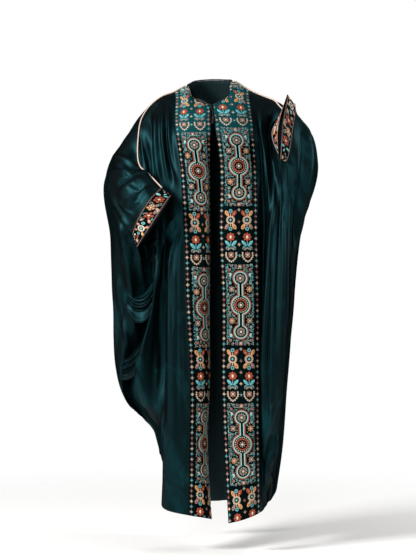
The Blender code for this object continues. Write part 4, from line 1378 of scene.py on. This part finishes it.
class BISHT_OT_fronts(bpy.types.Operator):
    """Cuts the two fronts with the fronts of their sleeves"""
    bl_idname = "bisht.fronts"
    bl_label = "Fronts"

    def execute(self, context):
        wall = sizes().velvet_wall
        for part, turn, flat, area in (("right_front", 1, (0.50, 1.38), 0.334),
                                       ("left_front", -1, (0.34, 1.38), 0.216)):
            made, cut = panel(part, worn[part], wall, turn, "silk velvet", "velvet", flat, area)
        return {"FINISHED"}


class BISHT_OT_bands(bpy.types.Operator):
    """Makes the two front bands and sews their embroidery on"""
    bl_idname = "bisht.bands"
    bl_label = "Front bands"

    def execute(self, context):
        for hand, turn in (("right", 1), ("left", -1)):
            part = f"{hand}_band"
            trimmed(part, worn[part], turn, "silk velvet ground", (BAND_WIDTH, 1.39), band_design(hand),
                    strip_of_band(hand))
        return {"FINISHED"}


class BISHT_OT_cuffs(bpy.types.Operator):
    """Makes the two cuffs and sews their embroidery on"""
    bl_idname = "bisht.cuffs"
    bl_label = "Cuffs"

    def execute(self, context):
        for hand, turn, mouth, start in (("right", -1, RIGHT_MOUTH, 18), ("left", 1, LEFT_MOUTH, 45)):
            strip = strip_of_cuff(hand, mouth)
            around = float(strip[0][-1, 0, 1])
            trimmed(f"{hand}_cuff", strip[1], turn, "black silk velvet", (CUFF_WIDTH, around),
                    cuff_design(around * 1000, turn, start), strip, closed=True)
        return {"FINISHED"}


class BISHT_OT_piping(bpy.types.Operator):
    """Lays the corded piping in the over-arm seams"""
    bl_idname = "bisht.piping"
    bl_label = "Piping"

    def execute(self, context):
        radius = sizes().piping
        for hand in ("right", "left"):
            grid, out = cloth[hand][:2]
            away = evened(out[TO_SEAM + 1:, 0], 12)
            path = grid[TO_SEAM + 1:, 0] + away * (radius + STITCHED)
            made = tube(f"{hand}_satin_piping", path, radius, finish("satin piping"), 14)
            rides(made, "piping", f"{hand}_piping")
        return {"FINISHED"}


class BISHT_OT_binding(bpy.types.Operator):
    """Rolls the black binding round the neck edge"""
    bl_idname = "bisht.binding"
    bl_label = "Neck binding"

    def execute(self, context):
        path = neck_edge(sizes().binding)
        knob = 1.3 * np.exp(-((np.hypot(path[:, 0] - KNOB[0], path[:, 2] - KNOB[1]) / KNOB_REACH) ** 4))
        path[:, 2] += sizes().binding * 0.8 * knob
        radius = sizes().binding * (1 + knob + 0.05 * np.sin(np.arange(len(path)) * 1.3))
        made = tube("black_neck_binding", path, radius, finish("black silk cord"), 14)
        rides(made, "black_trim", "neck_binding")
        return {"FINISHED"}


class BISHT_OT_tie(bpy.types.Operator):
    """Hangs the tie cord and its tassel at the closure"""
    bl_idname = "bisht.tie"
    bl_label = "Tie and tassel"

    def execute(self, context):
        path, foot = tie_path()
        knot = tassel(path[-1], foot)
        rides(knot, "black_trim", "tassel")
        made = tube("black_tie_cord", path, sizes().tie, finish("black silk cord"), 12, 3, 0.006)
        rides(made, "black_trim", "tie_cord")
        return {"FINISHED"}


class BISHT_OT_stage(bpy.types.Operator):
    """Sets the camera, a pale floor and soft studio light"""
    bl_idname = "bisht.stage"
    bl_label = "Stage and light"

    def execute(self, context):
        camera = bpy.data.cameras.new("camera")
        camera.sensor_fit = "VERTICAL"
        camera.angle = 2 * math.atan(FRAME_ROWS * PIXEL / 2 / PAPER)
        seat = set_down("camera", camera, CAMERA)
        seat.rotation_euler = (math.radians(90), 0, 0)
        context.scene.camera = seat
        paper_floor()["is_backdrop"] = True
        for name, place, size, power in LAMPS:
            lamp = bpy.data.lights.new(name, "AREA")
            lamp.size = size
            lamp.energy = power
            way = Vector(LIT) - Vector(place)
            set_down(name, lamp, place).rotation_euler = way.to_track_quat("-Z", "Y").to_euler()
        world = bpy.data.worlds.new("studio")
        context.scene.world = world
        world.use_nodes = True
        # The room's own light is low, and the paper behind the garment is lit white.
        tree = world.node_tree
        room = tree.nodes["Background"]
        room.inputs[0].default_value = (1, 1, 1, 1)
        eye = node(tree, "ShaderNodeLightPath").outputs["Is Camera Ray"]
        level = node(tree, "ShaderNodeMapRange", {"Value": eye, "To Min": ROOM_LIGHT, "To Max": 1.0})
        tree.links.new(level.outputs[0], room.inputs[1])
        context.scene.view_settings.view_transform = "Standard"
        return {"FINISHED"}


def set_down(name, data, place):
    """A camera or a lamp at its place."""
    made = bpy.data.objects.new(name, data)
    bpy.context.scene.collection.objects.link(made)
    made.location = place
    return made


def paper_floor():
    """A round of matt white paper, about 95 mm below the hem."""
    bpy.ops.object.select_all(action="DESELECT")
    bpy.ops.mesh.primitive_circle_add(vertices=96, radius=2.6, fill_type="NGON", location=(0, 0, -1.495))
    floor = bpy.context.object
    floor.name = "floor"
    made, tree, shader = new_material("matt white paper", Roughness=0.95, Specular_IOR_Level=0.1)
    place = node(tree, "ShaderNodeTexCoord").outputs["Object"]
    grain = node(tree, "ShaderNodeTexNoise", {"Vector": place, "Scale": 30})
    tree.links.new(mixed(tree, linear("#f3f2f0"), linear("#f8f7f5"), grain.outputs[0]), shader.inputs[0])
    # The paper has no edge that shows: it runs out into the white round it.
    reach = node(tree, "ShaderNodeVectorMath", {0: place}, operation="LENGTH").outputs["Value"]
    kept = node(tree, "ShaderNodeMapRange", {"Value": reach, "From Min": 0.6, "From Max": 2.4,
                                             "To Min": 1.0, "To Max": 0.0}, interpolation_type="SMOOTHSTEP")
    tree.links.new(kept.outputs[0], shader.inputs["Alpha"])
    floor.data.materials.append(made)
    return floor


def neck_edge(radius):
    """The line of the neck binding: outside the cloth's edge, all round the neck from the closure."""
    right, right_out = cloth["right"][:2]
    left, left_out = cloth["left"][:2]
    back, back_out = (part[ALONG_ARM:] for part in cloth["back"])
    parts = []
    for points, out in ((right[:TO_SEAM + 1], right_out), (back[1:-ALONG_ARM - 1], back_out),
                        (left[TO_SEAM::-1], left_out[TO_SEAM::-1])):
        away = unit(points[:, 0] - points[:, 1])
        parts.append(np.stack([points[:, 0] - out[:len(points), 0] * MID_WALL, away], axis=1))
    edge = np.concatenate(parts)
    away = evened(edge[:, 1], 14)
    along = unit(np.gradient(edge[:, 0], axis=0))
    away = unit(away - along * np.sum(away * along, axis=1, keepdims=True))
    line = edge[:, 0] + away * (radius + EDGED)
    for _ in range(3):
        line[1:-1] = (line[:-2] + 2 * line[1:-1] + line[2:]) / 4
    return line


def tie_path():
    """The tie cord's own line, as its solid has it, and the foot of the tassel."""
    thick = sizes().tie
    opening = cloth["left"][0][0][:ROWS[0] + 1]
    reach = sizes().tassel_radius * 1.15
    spots = []
    for drop, off in ((0.012, thick), (0.026, thick + 0.001), (sizes().tie_length, reach),
                      (sizes().tie_length + 0.001 + sizes().tassel_length, reach)):
        z = NECK_FRONT_HEIGHT - drop
        spots.append(np.array((0, np.interp(-z, -opening[:, 2], opening[:, 1]) - off - CLEAR, z)))
    start = neck_edge(sizes().binding)[0] + np.array((-0.0015, -sizes().binding - thick - 0.0003, 0))
    path = [start, spots[0], spots[1] + (0.002, 0, 0), spots[2] + (0.003, 0, 0)]
    return through(path, (9, 9, 9)), spots[3] + (0.003, 0, 0)


def tassel(top, foot):
    """A wound head and a skirt of threads, each a thin tube."""
    chance = np.random.default_rng(3)
    count, long, wide = sizes().threads, sizes().tassel_length, sizes().tassel_radius
    down = unit(foot - top)
    side = unit(np.cross(down, (0, 1, 0)))
    front = np.cross(down, side)
    black = finish("black silk cord")
    # The head is a smooth knob with a thread wound round its foot, where the threads of the skirt begin.
    head = top + down * (np.array((0, 0.03, 0.08, 0.14, 0.20, 0.25, 0.28)) * long)[:, None]
    pieces = [tube("head", head, np.array((0.38, 0.62, 0.72, 0.72, 0.62, 0.5, 0.45)) * wide, black, 16)]
    wrap = np.linspace(0, 5 * math.tau, 80)
    coil = (top + down * (0.25 + 0.07 * np.linspace(0, 1, 80))[:, None] * long
            + (np.cos(wrap)[:, None] * side + np.sin(wrap)[:, None] * front) * wide * 0.5)
    pieces.append(tube("wrap", coil, 0.00028, black, 6))
    for i in range(count):
        turn = i * GOLDEN_ANGLE
        spread = math.sqrt((i + 0.5) / count)
        out = np.cos(turn) * side + np.sin(turn) * front
        share = np.array((0.28, 0.36, 0.5, 0.68, 0.86, 1 - chance.uniform(0, 0.05)))
        reach = wide * spread * np.array((0.42, 0.62, 0.78, 0.86, 0.92, 0.95 + chance.uniform(-0.03, 0.05)))
        line = top + down * (share * long)[:, None] + out * reach[:, None]
        pieces.append(tube("thread", line, 0.00032, black, 5))
    return joined(pieces, "black_tassel")


class BISHT_PT_panel(bpy.types.Panel):
    """The sizes, the colours and a button for each piece"""
    bl_label = "Bisht"
    bl_idname = "BISHT_PT_panel"
    bl_space_type = "VIEW_3D"
    bl_region_type = "UI"
    bl_category = "Bisht"

    def draw(self, context):
        for group in (context.scene.bisht_sizes, context.scene.bisht_colours):
            for name in group.__annotations__:
                self.layout.prop(group, name)
        for piece in PIECES:
            self.layout.operator(piece.bl_idname)


# The stage and the cord come first
PIECES = (BISHT_OT_stage, BISHT_OT_tie, BISHT_OT_back, BISHT_OT_fronts, BISHT_OT_bands, BISHT_OT_cuffs,
          BISHT_OT_piping, BISHT_OT_binding)
CLASSES = (BishtSizes, BishtColours, *PIECES, BISHT_PT_panel)


def register():
    for made in CLASSES:
        bpy.utils.register_class(made)
    bpy.types.Scene.bisht_sizes = bpy.props.PointerProperty(type=BishtSizes)
    bpy.types.Scene.bisht_colours = bpy.props.PointerProperty(type=BishtColours)


def unregister():
    del bpy.types.Scene.bisht_colours
    del bpy.types.Scene.bisht_sizes
    for made in reversed(CLASSES):
        bpy.utils.unregister_class(made)


def main():
    """Makes the whole garment."""
    register()
    for piece in PIECES:
        group, name = piece.bl_idname.split(".")
        getattr(getattr(bpy.ops, group), name)()
    boxes = {"cad": cad_box, "visual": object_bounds()}
    boxes = {name: [[float(x) for x in corner] for corner in box] for name, box in boxes.items()}


if __name__ == "__main__":
    main()
